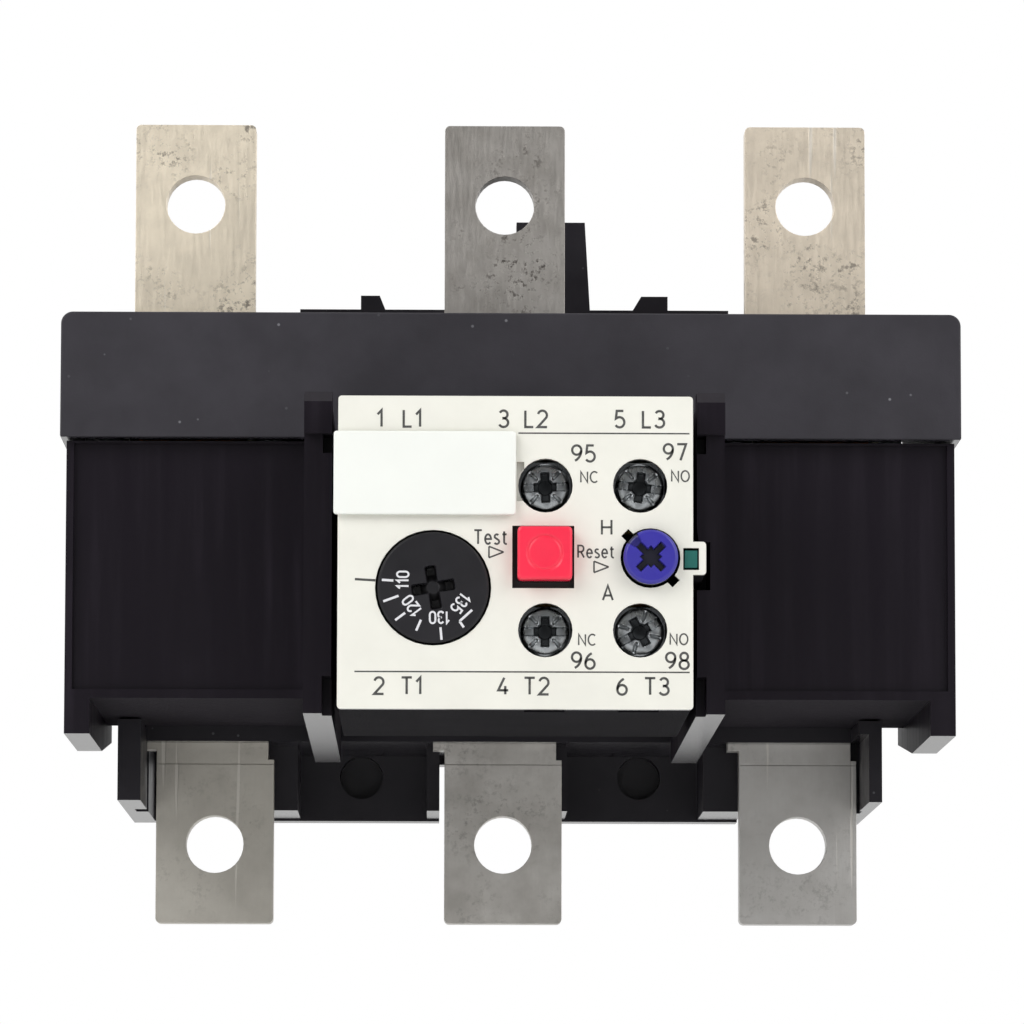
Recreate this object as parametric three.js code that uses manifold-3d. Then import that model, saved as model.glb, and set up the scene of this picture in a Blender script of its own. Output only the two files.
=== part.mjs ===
// Three-pole thermal overload relay with through busbars, in millimetres, +Z up.
// The origin is the centre of the rear mounting face. The operating face looks along -Y,
// and +X is on the right when the relay is seen from the front.
import * as THREE from 'three';
import { mergeVertices } from 'three/addons/utils/BufferGeometryUtils.js';
import Module from 'manifold-3d';

const wasm = await Module();
wasm.setup();

// ---- driving dimensions: casing ----
const gap = 0.3; // left between two pieces that touch
const over = 1; // a cut runs this far past the face it opens
const weld = 0.5; // joined solids run this far into each other
const caseWidth = 119.6; // over the housing's side walls
const caseDepth = 85; // rear mounting face to the housing's front wall
const moduleReach = 50; // housing's front wall to the front plate's face
const housingHeight = 34.7; // underside to top edge
const coverHeight = 17;
const coverOverhang = 0.8; // the cover stands proud of the housing, each side
const coverReach = 2; // and this much in front of it
const coverCorner = 1.6;
const sideWall = 3.4;
const frontWall = 2.6;
const shellWall = 2;
const footDrop = 4.8; // the side walls reach this far below the underside
const footDepth = 33; // depth of the foot before it slants up
const sideDepth = 60; // front to back length of the housing's side walls
const panelRecess = 0.8;
const panelBorder = 1;
const panelLip = 1.2;
const housingFloor = 2.5;
const footSlant = 0.65; // share of the foot's drop that the slant takes back
const coreRestClear = 1.5; // core rests end this far in front of the bars
const coverInset = 0.6; // extra thickness of the cover's front wall

// ---- driving dimensions: front module ----
const plateWidth = 45;
const plateHeight = 39.8;
const plateTop = 7.35; // Z of the plate's top edge
const plateThickness = 1.5;
const moduleWall = 1.5;
const cradleWall = 3.6;
const cradlePlay = 0.9; // plate edge to cradle wall
const cradleSetback = 10; // plate face back to the cradle walls' front
const capHeight = 5.5;
const capDepth = 6;
const capProud = 1.5;
const capBevel = 1.4;
const capRise = 1.6; // cap top above the housing's top edge
const stepInset = 1.2; // steps in the cradle walls' inner faces
const stepDepth = 4;
const lowerStepHeight = 4.8;
const upperStepHeight = 2.4;
const plateCorner = 0.45;
const plateGrip = 0.2; // the module case stands this far inside the plate's edge
const moduleBackPlay = 0.4;
const labelWidth = 23.1;
const labelHeight = 10.65;
const labelDrop = 4.6; // plate's top edge to the label's
const labelRight = 0.05; // X of the label's right edge
const labelThickness = 0.8;
const labelCorner = 0.4;
const slitRoom = 0.1; // label's right edge to the slit beside it
const slitWidth = 0.95;
const slitHalf = 2.5;
const slitDepth = 0.6;

// ---- driving dimensions: busbars and current transformers ----
const barWidth = 16.7;
const barThickness = 4;
const barLength = 109.8; // top end to bottom end
const barHoleRadius = 4.1;
const barHoleInset = 11.2; // hole centre to the bar's end
const barCorner = 0.7;
const upperBarDepth = 58; // rear face to the middle of the upper leg
const lowerBarDepth = 29;
const upperRowOffset = -1.2; // X of the middle of the outer bars' upper legs
const lowerRowOffset = 0.15;
const upperMiddleShift = 0.6; // the middle bar's upper leg stands this far off that middle
const lowerMiddleShift = -0.5;
const lowerPitchLess = 0.9; // the lower legs stand this much closer together
const barShoulder = 1.65;
const barRelief = 0.8;
const barPlay = 0.75; // slot to bar
const linkBottom = -16; // Z of the underside of the bar's cross link
const terminalStep = 0.1; // the terminal faces stand proud of the bar inside the casing
const terminalMargin = 0.7; // casing to the start of a terminal face
const shoulderDrop = 0.9; // the lower leg's shoulder shows this much below the base floor
const reliefDrop = 1.4; // and the relief on its other side ends this far below that
const coreLeg = 3.2;
const coreHeight = 16;
const coreMiddle = 7; // Z of the cores' middle
const coreFrontRoom = 10; // bar's middle to the front leg
const coreRearRoom = 4.8;
const coreBarPlay = 0.95;
const bobbinWall = 1;
const bobbinFlange = 4.6; // flange height over the core leg
const windingBuild = 2.6;
const leadHalf = 1; // half the thickness of a twin lead
const leadSlotRoom = 2; // lead's middle to the edge of its slot
const leadReach = 1.2; // housing's front wall to the lead's cross run

// ---- driving dimensions: rear base ----
const baseHalf = 53.2;
const baseShift = -1; // the base sits this far off the casing's middle
const baseWall = 3.2;
const backThickness = 5;
const baseBottom = -38.8;
const baseTop = 22;
const baseFloorTop = -26.8;
const baseFloorDepth = 35; // rear face to the floor's front edge
const baseFloorDrop = 2.1; // the base floor hangs this far below the housing's
const trayReach = 52; // rear face to the front of the tray walls
const riserLeft = -29.6;
const riserRight = 31.8;
const riserTop = 33;
const riserDepth = 32;
const riserWall = 2.5;
const riserPlay = 0.5;
// How far each window behind a lower leg reaches past the bar's left and right edges.
const windowReach = [[-0.9, -0.9], [0.7, -0.9], [-0.9, -0.9]];
const outerRibFaces = [-29.7, 28.4]; // X of the inner faces of the ribs beside the outer windows
const lugPlay = 0.4; // side of a cable lug as wide as the bar to the tray wall
const windowTop = -30.5;
const mountHoleRadius = 3.15;
const mountHoleHeight = -32.4;
const mountHoleHalfPitch = 20.3;
const mountHoleShift = -0.5; // the pair stands this far off the casing's middle
const mountHoleSkin = 0.8; // thin web left behind each hole, to be knocked out
const baseRoof = 2.5;
const tabDepth = 4;
// Tabs along the riser's front top edge: a small one each side and the locating ear.
// left and width are at a tab's top, and its sides slant out towards its foot.
const riserTabs = [
  { left: -20.9, width: 2.7, height: 2, slantLeft: 0, slantRight: 1.2 },
  { left: 19.3, width: 3.8, height: 2, slantLeft: 1.8, slantRight: 0 },
  { left: 1.4, width: 9.8, height: 12.7, slantLeft: 0, slantRight: 0.8 },
];
const ribDepth = 24; // stiffening ribs beside the windows
const thinRib = 1.8;

// ---- driving dimensions: assembly screws ----
const assemblyHalfPitch = 21;
const assemblyRadius = 1.9;
const assemblyHeadRadius = 3.3;
const assemblyHeadHeight = 2.2;
const assemblyHeadSink = 0.4;
const assemblyPocket = 2.9; // depth of the pocket for the head
const bossHalf = 3;
const bossLead = 2; // a boss starts this far in front of the upper bars' middle
const bossLength = 23;
const boreLead = 4; // its bore starts this far behind the upper bars' middle
const lowerBossHeight = 8.2;
const bossUnder = 1.3; // left under an upper screw's bore
const lowerScrewRise = 4.7; // housing floor to the lower screws
const upperScrewDrop = 5.8; // cover's ceiling to the upper screws

// ---- driving dimensions: controls ----
const wellRadius = 3.45;
const screwHeadRadius = 3.1;
const screwShankRadius = 1.75;
const screwSink = 2; // plate face down to the screw heads
const screwEnd = 12; // plate face to the screws' tips
const slotHalf = 0.45;
const slotDepth = 0.9;
const crossHalf = 1.8;
const crossDepth = 1.2;
const screwSpacing = 12; // between the two columns
const screwRows = 18.4; // between the upper and lower rows
const ncColumn = 3.8; // X of terminals 95 and 96
const dialRadius = 7.05;
const dialX = -10.4;
const dialDrop = 3.85; // dial centre below the mechanism's middle
const dialProud = 0.4;
const dialFlange = 1.1; // how far the flange reaches under the plate
const dialCrossTurn = 0.17;
const dialShaftRadius = 3;
const camRadius = 4;
const camLength = 6.5;
const camAngle = 0.11; // slope of the cam's face, radians
const buttonWidth = 6.9;
const buttonHeight = 6.75;
const buttonX = 3.7;
const buttonRise = 0.4;
const buttonRoomLeft = 0.65; // the button's hole shows to its left and below it
const buttonRoomBelow = 0.9;
const buttonCorner = 0.5;
const buttonProud = 2.5;
const resetX = 17.1;
const resetRadius = 3.45;
const resetHoleRadius = 3.8;
const resetProud = 2;
const resetCrossTurn = 0.3;
const notchWidth = 1.3; // of the two notches in the reset knob's hole
const flagX = 22.25;
const flagWidth = 1.6;
const flagHeight = 2.4;
const flagTabReach = 1.65; // the plate's tab around the flag, past the plate's edge
const flagTabHalf = 2.1;
const flagLow = 0.1; // flag's middle below the mechanism's
const flagSink = 0.2;
const flagPlay = 0.2;
const flagLength = 18.8;
const flagFootLength = 2;
const bulgeProud = 1.7; // the module case's bulge over the flag
const bulgeHalf = 2;
const bulgeEnd = 21.5; // plate face to the back of the bulge
const bulgeRoom = 1.1;
const buttonStem = 1.5; // half width
const plungerRadius = 1.4;
const plungerFootRadius = 2;
const plungerFoot = 2.5;
const pushEnd = 16.3; // plate face to the inner end of the button and plunger
const guideStart = 12; // plate face to the web that guides them
const guideThickness = 1.5;
const guideHalf = 4.3;
const flagDoorLength = 6.5;
const guidePlay = 0.4;
const flangeThickness = 1.2;
const springWire = 0.25;
const springTurns = 5;
const testSpringRadius = 2.6;
const resetSpringRadius = 2.1;
const springStart = 3.5; // plate face to the springs
const wireWayHalf = 2.6;
const wireWayStart = 2.2;
const wireWayEnd = 7.5;
const clampHalf = 3.4;
const clampThickness = 1;
const clampFront = 4.5; // plate face to the clamp washer
const terminalThread = 1.5; // thickness of the terminal plate's threaded part
const tongueThickness = 0.8;
const tongueHalf = 2.2;
const tongueRoom = 2.9; // mechanism's middle to the end of a tongue
const rivetReach = 1.6; // front of a tongue to the face of its contact

// ---- driving dimensions: mechanism ----
const contactRadius = 1.1;
const bridgeWidth = 2.4;
const bridgeThickness = 1;
const bridgeHalf = 5.8;
const contactGap = 1.9; // open contacts, at rest
const rockerHalf = 3.65; // half the rocker's height
const rockerBack = 1.8; // pivot to the rocker's back
const rockerTail = 7.8; // closed bridge to the end the bimetal strip pushes
const rockerTip = 3.7; // open bridge to the other end
const seatHalf = 1.6; // of the closed bridge's seat
const lugThickness = 1.8;
const lugHalf = 2.1;
const compHalf = 2;
const compThickness = 0.9;
const compReach = 13.5; // lever's pivot to the free end of the compensation strip
const leverHalf = 1.2;
const leverHubRadius = 1.8;
const frameThickness = 1.5;
const framePlay = 0.4;
const carrierHeight = 3.5;
const carrierHalf = 4.5;
const heaterHalf = 1.9;
const heaterRoom = 4; // slides to the heaters' lower ends
const rockerX = 9.8;
const rockerArm = 6; // pivot to each contact bridge
const trunnionRadius = 1;
const leverX = -15;
const leverArm = 12; // pivot to the slide's nose
const slideTravel = 1.6;
const bimetalThickness = 0.9;
const bimetalWidth = 6;
const heaterPitch = 11;
const heaterX = 2;
const heaterDepth = 8.6;
const leadZ = 0;
const slideThickness = 1.3;
const noseLength = 1.4; // of the slides' noses, which push the lever
const noseHalf = 0.75;
const slideRoom = 3.6; // module case's floor to the upper slide
const stripSink = 1.5; // top of the strips below the module case's ceiling
// ---- places worked out from them ----
const frontY = -caseDepth;
const faceY = frontY - moduleReach;
const caseHalf = caseWidth / 2;
const caseInner = caseHalf - sideWall;
const housingTop = plateTop + gap / 2;
const housingBottom = housingTop - housingHeight;
const floorTop = housingBottom + housingFloor;
const coverBottom = housingTop + gap;
const coverTop = coverBottom + coverHeight;
const plateBottom = plateTop - plateHeight;
const middleZ = (plateTop + plateBottom) / 2 - 0.7;
const plateBackY = faceY + plateThickness;
const cradleInner = plateWidth / 2 + cradlePlay;
const cradleOuter = cradleInner + cradleWall;
const cradleFrontY = faceY + cradleSetback;
const cradleBottom = plateBottom + gap / 2;
const moduleHalf = plateWidth / 2 - plateGrip;
const moduleInner = moduleHalf - moduleWall;
const moduleTop = plateTop - plateGrip;
const moduleBottom = plateBottom + plateGrip;
const moduleCeiling = moduleTop - moduleWall;
const moduleFloor = moduleBottom + moduleWall;
const moduleFrontY = plateBackY + gap;
const moduleBackY = frontY - moduleBackPlay;
const floorEndY = -baseFloorDepth - 0.5;
const upperBarY = -upperBarDepth;
const lowerBarY = -lowerBarDepth;
const coreWindowHalf = barWidth / 2 + coreBarPlay;
const coreHalf = coreWindowHalf + coreLeg;
const upperPitch = caseInner - coreHalf - gap - Math.abs(upperRowOffset);
const lowerPitch = upperPitch - lowerPitchLess;
const coreFrontY = upperBarY - coreFrontRoom - coreLeg;
const coreRearY = upperBarY + coreRearRoom + coreLeg;
const coreBottom = coreMiddle - coreHeight / 2;
const noColumn = ncColumn + screwSpacing;
const frameY = faceY + 30.5; // front of the mechanism frame
const slideY = faceY + 39.5; // middle of the bimetals and slides
const contactY = faceY + 18; // front of the fixed contacts' tongues
const camY = contactY - camLength;
const rockerY = faceY + 24.8; // rocker's pivot
const leverY = slideY - weld - leverArm;
const upperSlideBottom = moduleFloor + slideRoom;
const lowerSlideBottom = upperSlideBottom - slideThickness - gap;

const poles = ['left', 'middle', 'right'].map((name, index) => ({
  name,
  upperX: upperRowOffset + (index - 1) * upperPitch + (index === 1 ? upperMiddleShift : 0),
  lowerX: lowerRowOffset + (index - 1) * lowerPitch + (index === 1 ? lowerMiddleShift : 0),
  heaterX: heaterX + (index - 1) * heaterPitch,
}));
const terminals = [
  { name: '95', x: ncColumn, side: 1 },
  { name: '96', x: ncColumn, side: -1 },
  { name: '97', x: noColumn, side: 1 },
  { name: '98', x: noColumn, side: -1 },
];

const fullTurn = Math.PI * 2;

// ---- solids ----
function solid(geometry) {
  const bare = new THREE.BufferGeometry();
  bare.setAttribute('position', geometry.getAttribute('position'));
  bare.setIndex(geometry.getIndex());
  const merged = mergeVertices(bare, 1e-4);
  const mesh = new wasm.Mesh({
    numProp: 3,
    vertProperties: new Float32Array(merged.getAttribute('position').array),
    triVerts: new Uint32Array(merged.getIndex().array),
  });
  return new wasm.Manifold(mesh);
}

function block([x0, x1], [y0, y1], [z0, z1]) {
  const box = new THREE.BoxGeometry(x1 - x0, y1 - y0, z1 - z0);
  return solid(box.translate((x0 + x1) / 2, (y0 + y1) / 2, (z0 + z1) / 2));
}

function rodY(radius, x, z, [y0, y1], sides = 24) {
  const rod = new THREE.CylinderGeometry(radius, radius, y1 - y0, sides);
  return solid(rod.translate(x, (y0 + y1) / 2, z));
}

function rodZ(radius, x, y, [z0, z1], sides = 16) {
  const rod = new THREE.CylinderGeometry(radius, radius, z1 - z0, sides);
  return solid(rod.rotateX(Math.PI / 2).translate(x, y, (z0 + z1) / 2));
}

// An outline in X and Z, given depth along Y.
function panel(shape, [y0, y1], curveSegments = 6) {
  const plate = new THREE.ExtrudeGeometry(shape, { depth: y1 - y0, bevelEnabled: false, curveSegments });
  return solid(plate.rotateX(Math.PI / 2).translate(0, y1, 0));
}

// An outline in Y and Z, given width along X.
function profile(points, [x0, x1]) {
  const shape = new THREE.Shape(points.map(([y, z]) => new THREE.Vector2(y, z)));
  const strip = new THREE.ExtrudeGeometry(shape, { depth: x1 - x0, bevelEnabled: false });
  const turn = new THREE.Matrix4().makeBasis(
    new THREE.Vector3(0, 1, 0),
    new THREE.Vector3(0, 0, 1),
    new THREE.Vector3(1, 0, 0),
  );
  return solid(strip.applyMatrix4(turn).translate(x0, 0, 0));
}

// An outline in X and Y, given height along Z.
function slab(points, [z0, z1]) {
  const shape = new THREE.Shape(points.map(([x, y]) => new THREE.Vector2(x, y)));
  const plate = new THREE.ExtrudeGeometry(shape, { depth: z1 - z0, bevelEnabled: false });
  return solid(plate.translate(0, 0, z0));
}

function roundedRect([x0, x1], [z0, z1], radius) {
  const shape = new THREE.Shape();
  shape.moveTo(x0 + radius, z0);
  shape.lineTo(x1 - radius, z0);
  shape.absarc(x1 - radius, z0 + radius, radius, -Math.PI / 2, 0);
  shape.lineTo(x1, z1 - radius);
  shape.absarc(x1 - radius, z1 - radius, radius, 0, Math.PI / 2);
  shape.lineTo(x0 + radius, z1);
  shape.absarc(x0 + radius, z1 - radius, radius, Math.PI / 2, Math.PI);
  shape.lineTo(x0, z0 + radius);
  shape.absarc(x0 + radius, z0 + radius, radius, Math.PI, Math.PI * 1.5);
  return shape;
}

class Helix extends THREE.Curve {
  constructor(radius, turns, length) {
    super();
    this.radius = radius;
    this.turns = turns;
    this.length = length;
  }

  getPoint(t) {
    const angle = t * this.turns * fullTurn;
    const { radius, length } = this;
    return new THREE.Vector3(radius * Math.cos(angle), t * length, radius * Math.sin(angle));
  }
}

// A return spring between a button's flange and the guide web.
function coilSpring(x, radius) {
  const [front, back] = [faceY + springStart + springWire, faceY + guideStart - gap - springWire];
  const section = new THREE.Shape();
  section.absarc(0, 0, springWire, 0, fullTurn);
  const spring = new THREE.ExtrudeGeometry(section, {
    steps: springTurns * 10,
    curveSegments: 3,
    bevelEnabled: false,
    extrudePath: new Helix(radius, springTurns, back - front),
  });
  return solid(spring.translate(x, front, middleZ));
}

const join = (first, ...others) => others.reduce((whole, piece) => whole.add(piece), first);
const cut = (first, ...others) => others.reduce((whole, piece) => whole.subtract(piece), first);
const around = (middle, half) => [middle - half, middle + half];
const span = (start, length) => [start, start + length];
const grow = ([low, high], by) => [low - by, high + by];
const sorted = (a, b) => (a < b ? [a, b] : [b, a]);

// Two crossed slots, each given as length, depth and width, centred on the surface at Y.
function crossRecess([length, depth, width], angle, x, y, z) {
  return [angle, angle + Math.PI / 2].map((turn) => {
    const slot = new THREE.BoxGeometry(length, depth, width).rotateY(turn);
    return solid(slot.translate(x, y, z));
  });
}

// ---- finishes ----
const finishes = {
  matteBlack: { color: 0x3a393f, roughness: 0.62, metalness: 0 },
  glossBlack: { color: 0x1d1a20, roughness: 0.25, metalness: 0 },
  baseBlack: { color: 0x242327, roughness: 0.5, metalness: 0 },
  cream: { color: 0xe8e6de, roughness: 0.55, metalness: 0 },
  white: { color: 0xfafcf9, roughness: 0.4, metalness: 0 },
  dialBlack: { color: 0x17161a, roughness: 0.4, metalness: 0 },
  red: { color: 0xff3c5a, roughness: 0.35, metalness: 0 },
  blue: { color: 0x3a30a8, roughness: 0.35, metalness: 0 },
  green: { color: 0x14786e, roughness: 0.4, metalness: 0 },
  tinned: { color: 0xb9b2a4, roughness: 0.35, metalness: 0.9 },
  darkSteel: { color: 0x55595c, roughness: 0.35, metalness: 0.9 },
  brass: { color: 0xc2a15a, roughness: 0.35, metalness: 0.9 },
  springSteel: { color: 0x9a9ca0, roughness: 0.3, metalness: 0.95 },
  laminations: { color: 0x6a6c70, roughness: 0.5, metalness: 0.8 },
  copper: { color: 0xb0683c, roughness: 0.35, metalness: 0.85 },
  bobbin: { color: 0xd8d4c4, roughness: 0.6, metalness: 0 },
  leadSleeve: { color: 0xb8b09a, roughness: 0.7, metalness: 0 },
};

const relay = new THREE.Group();

function add(name, body, finish, parent = relay) {
  const { vertProperties, triVerts } = body.getMesh();
  const geometry = new THREE.BufferGeometry();
  geometry.setAttribute('position', new THREE.BufferAttribute(vertProperties.slice(), 3));
  geometry.setIndex(new THREE.BufferAttribute(triVerts.slice(), 1));
  geometry.computeVertexNormals();
  const mesh = new THREE.Mesh(geometry, new THREE.MeshStandardMaterial(finishes[finish]));
  mesh.name = name;
  parent.add(mesh);
  return mesh;
}

function groupAt(x, y, z) {
  const group = new THREE.Group();
  group.position.set(x, y, z);
  relay.add(group);
  return group;
}

// ---- casing ----
const leadWindow = block(
  around(heaterX, heaterPitch + leadSlotRoom),
  [moduleBackY - moduleWall - over, frontY + frontWall + over],
  around(leadZ, leadSlotRoom),
);

function housingSide(side) {
  const top = housingTop;
  const foot = housingBottom - footDrop;
  const wall = profile([
    [frontY, foot],
    [frontY + footDepth, foot],
    [frontY + sideDepth, foot + footDrop * footSlant],
    [frontY + sideDepth, top],
    [frontY, top],
  ], [caseInner, caseHalf]);
  return side < 0 ? wall.mirror([1, 0, 0]) : wall;
}

function cradleSide(side) {
  const across = [cradleInner, cradleOuter];
  const front = cradleFrontY;
  const capFront = front - capProud;
  const capTop = housingTop + capRise;
  const capBottom = capTop - capHeight;
  const wall = block(across, [front, frontY + frontWall], [cradleBottom, housingTop]);
  const rib = block(across, [frontY, floorEndY], [cradleBottom, floorTop]);
  const cap = profile([
    [capFront, capBottom],
    [capFront + capDepth, capBottom],
    [capFront + capDepth, capTop],
    [capFront + capBevel, capTop],
    [capFront, capTop - capBevel],
  ], across);
  const inset = [cradleInner - over, cradleInner + stepInset];
  const stepY = [front - over, front + stepDepth];
  const lowerStep = block(inset, stepY, [cradleBottom - over, cradleBottom + lowerStepHeight]);
  const upperStep = block(inset, stepY, [capBottom - upperStepHeight, capBottom]);
  const whole = cut(join(wall, rib, cap), lowerStep, upperStep);
  return side < 0 ? whole.mirror([1, 0, 0]) : whole;
}

function coreRests() {
  const rests = [];
  for (const { upperX } of poles) {
    for (const side of [-1, 1]) {
      const x = upperX + side * (coreHalf - coreLeg / 2);
      const y = [upperBarY - coreFrontRoom + over, upperBarY - barThickness / 2 - coreRestClear];
      rests.push(block(around(x, coreLeg / 2), y, [floorTop - weld, coreBottom - gap]));
    }
  }
  return rests;
}

const bossY = span(upperBarY - bossLead, bossLength);
const boreY = [upperBarY + boreLead, bossY[1] + over];
const lowerScrewZ = floorTop + lowerScrewRise;
const upperScrewZ = coverTop - shellWall - upperScrewDrop;

function screwBoss(x, heights, holeZ) {
  const boss = block(around(x, bossHalf), bossY, heights);
  return { boss, hole: rodY(assemblyRadius + gap, x, holeZ, boreY, 16) };
}

function transformerHousing() {
  const front = block([-caseHalf, caseHalf], span(frontY, frontWall), [housingBottom, housingTop]);
  const floor = block([-caseInner, caseInner], [frontY, floorEndY], [housingBottom, floorTop]);
  let body = join(front, floor, housingSide(-1), housingSide(1), cradleSide(-1), cradleSide(1));
  body = join(body, ...coreRests());
  for (const side of [-1, 1]) {
    const heights = [floorTop - weld, floorTop + lowerBossHeight];
    const { boss, hole } = screwBoss(side * assemblyHalfPitch, heights, lowerScrewZ);
    body = body.add(boss).subtract(hole);
    const edges = sorted(side * (cradleOuter + panelBorder / 2), side * (caseHalf - panelBorder));
    const recess = [frontY - over, frontY + panelRecess];
    body = body.subtract(block(edges, recess, [housingBottom + panelLip, housingTop - gap]));
  }
  const flagPocket = block(
    [cradleInner - over, moduleHalf + bulgeProud + bulgeRoom],
    [cradleFrontY - over, faceY + bulgeEnd + over],
    around(middleZ, bulgeHalf + bulgeRoom),
  );
  return cut(body, leadWindow, flagPocket);
}

function topCover() {
  const half = caseHalf + coverOverhang;
  const front = frontY - coverReach;
  const spare = coverBottom - 2 * coverCorner; // rounded off here, then cut away
  const outer = panel(
    roundedRect([-half, half], [spare, coverTop], coverCorner),
    [front, frontY + sideDepth],
  );
  const below = block([-half - over, half + over], [front - over, 0], [spare - over, coverBottom]);
  const inside = block(
    [-half + sideWall, half - sideWall],
    [front + frontWall + coverInset, 0],
    [coverBottom - over, coverTop - shellWall],
  );
  const riserNotch = block(
    [riserLeft - riserPlay, riserRight + riserPlay],
    [-riserDepth - riserPlay, 0],
    [coverBottom, coverTop + over],
  );
  let body = cut(outer, below, inside, riserNotch);
  for (const { upperX } of poles) {
    body = body.subtract(block(
      around(upperX, barWidth / 2 + barPlay),
      around(upperBarY, barThickness / 2 + barPlay),
      [coverTop - shellWall - over, coverTop + over],
    ));
  }
  for (const side of [-1, 1]) {
    const heights = [upperScrewZ - assemblyRadius - gap - bossUnder, coverTop - shellWall + weld];
    const { boss, hole } = screwBoss(side * assemblyHalfPitch, heights, upperScrewZ);
    body = body.add(boss).subtract(hole);
  }
  return body;
}

// ---- rear base ----
function rearBase() {
  const back = [-backThickness, 0];
  const through = grow(back, over);
  const full = around(baseShift, baseHalf);
  const floorBottom = housingBottom - baseFloorDrop;
  const trayTop = housingBottom - gap;
  const walls = [];
  for (const side of [-1, 1]) {
    const edge = baseShift + side * baseHalf;
    const across = sorted(edge, edge - side * baseWall);
    walls.push(block(across, [-baseFloorDepth, -over], [baseBottom, baseTop]));
    walls.push(block(across, [-trayReach, -over], [baseBottom, trayTop]));
  }
  const plate = block(full, back, [baseBottom, baseTop]);
  const roof = block(full, [-baseFloorDepth, -over], [baseTop - baseRoof, baseTop]);
  const floor = block(full, [-baseFloorDepth, -over], [floorBottom, baseFloorTop]);
  const riser = block([riserLeft, riserRight], [-riserDepth, 0], [baseTop - over, riserTop]);
  const riserHollow = block(
    [riserLeft + riserWall, riserRight - riserWall],
    [-riserDepth + riserWall, -backThickness],
    [baseTop - baseRoof - weld, riserTop - riserWall],
  );
  let body = cut(join(plate, roof, floor, riser, ...walls), riserHollow);

  for (const { left, width, height, slantLeft, slantRight } of riserTabs) {
    const right = left + width;
    const outline = new THREE.Shape([
      new THREE.Vector2(left - slantLeft, riserTop - over),
      new THREE.Vector2(right + slantRight, riserTop - over),
      new THREE.Vector2(right, riserTop + height),
      new THREE.Vector2(left, riserTop + height),
    ]);
    body = body.add(panel(outline, span(-riserDepth, tabDepth)));
  }

  const wallFaces = around(baseShift, baseHalf - baseWall);
  const windows = poles.map(({ lowerX }, index) => {
    const [pastLeft, pastRight] = windowReach[index];
    return [
      Math.max(lowerX - barWidth / 2 - pastLeft, wallFaces[0]),
      Math.min(lowerX + barWidth / 2 + pastRight, wallFaces[1]),
    ];
  });
  for (const windowX of windows) {
    body = body.subtract(block(windowX, through, [baseBottom - over, windowTop]));
  }
  for (const { upperX, lowerX } of poles) {
    const slotX = [
      Math.min(lowerX - barShoulder, upperX) - barWidth / 2 - barPlay,
      Math.max(lowerX, upperX) + barWidth / 2 + barPlay,
    ];
    const slotY = around(lowerBarY, barThickness / 2 + barPlay);
    const elbowZ = [baseFloorTop, linkBottom + barThickness + barPlay];
    body = body.subtract(block(slotX, slotY, [baseBottom - over, baseFloorTop + over]));
    body = body.subtract(block(slotX, [-baseFloorDepth - over, slotY[1]], elbowZ));
    const lugX = around(lowerX, barWidth / 2 + lugPlay);
    body = body.subtract(block(lugX, [-trayReach - over, slotY[1]], [baseBottom - over, floorBottom]));
  }
  const ribY = span(-over - ribDepth, ribDepth);
  const ribZ = [baseBottom + gap, floorBottom + weld];
  const [left, middle, right] = windows;
  body = join(
    body,
    block([left[1], outerRibFaces[0]], ribY, ribZ),
    block([outerRibFaces[1], right[0]], ribY, ribZ),
    block([middle[0] - thinRib, middle[0]], ribY, ribZ),
    block(span(middle[1], thinRib), ribY, ribZ),
  );
  for (const side of [-1, 1]) {
    const x = mountHoleShift + side * mountHoleHalfPitch;
    const holeY = [back[0] - over, -mountHoleSkin];
    body = body.subtract(rodY(mountHoleRadius, x, mountHoleHeight, holeY, 32));
    for (const z of [lowerScrewZ, upperScrewZ]) {
      const place = side * assemblyHalfPitch;
      const pocket = rodY(assemblyHeadRadius + guidePlay, place, z, [-assemblyPocket, over], 24);
      body = cut(body, rodY(assemblyRadius + gap, place, z, through, 16), pocket);
    }
  }
  return body;
}

function assemblyScrew() {
  const headY = [-assemblyHeadSink - assemblyHeadHeight, -assemblyHeadSink];
  const head = rodY(assemblyHeadRadius, 0, 0, headY, 24);
  const shank = rodY(assemblyRadius, 0, 0, [boreY[0] + over, headY[0] + weld], 16);
  return cut(join(head, shank), ...crossRecess([3.6, 1.2, 0.8], Math.PI / 4, 0, headY[1], 0));
}

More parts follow.
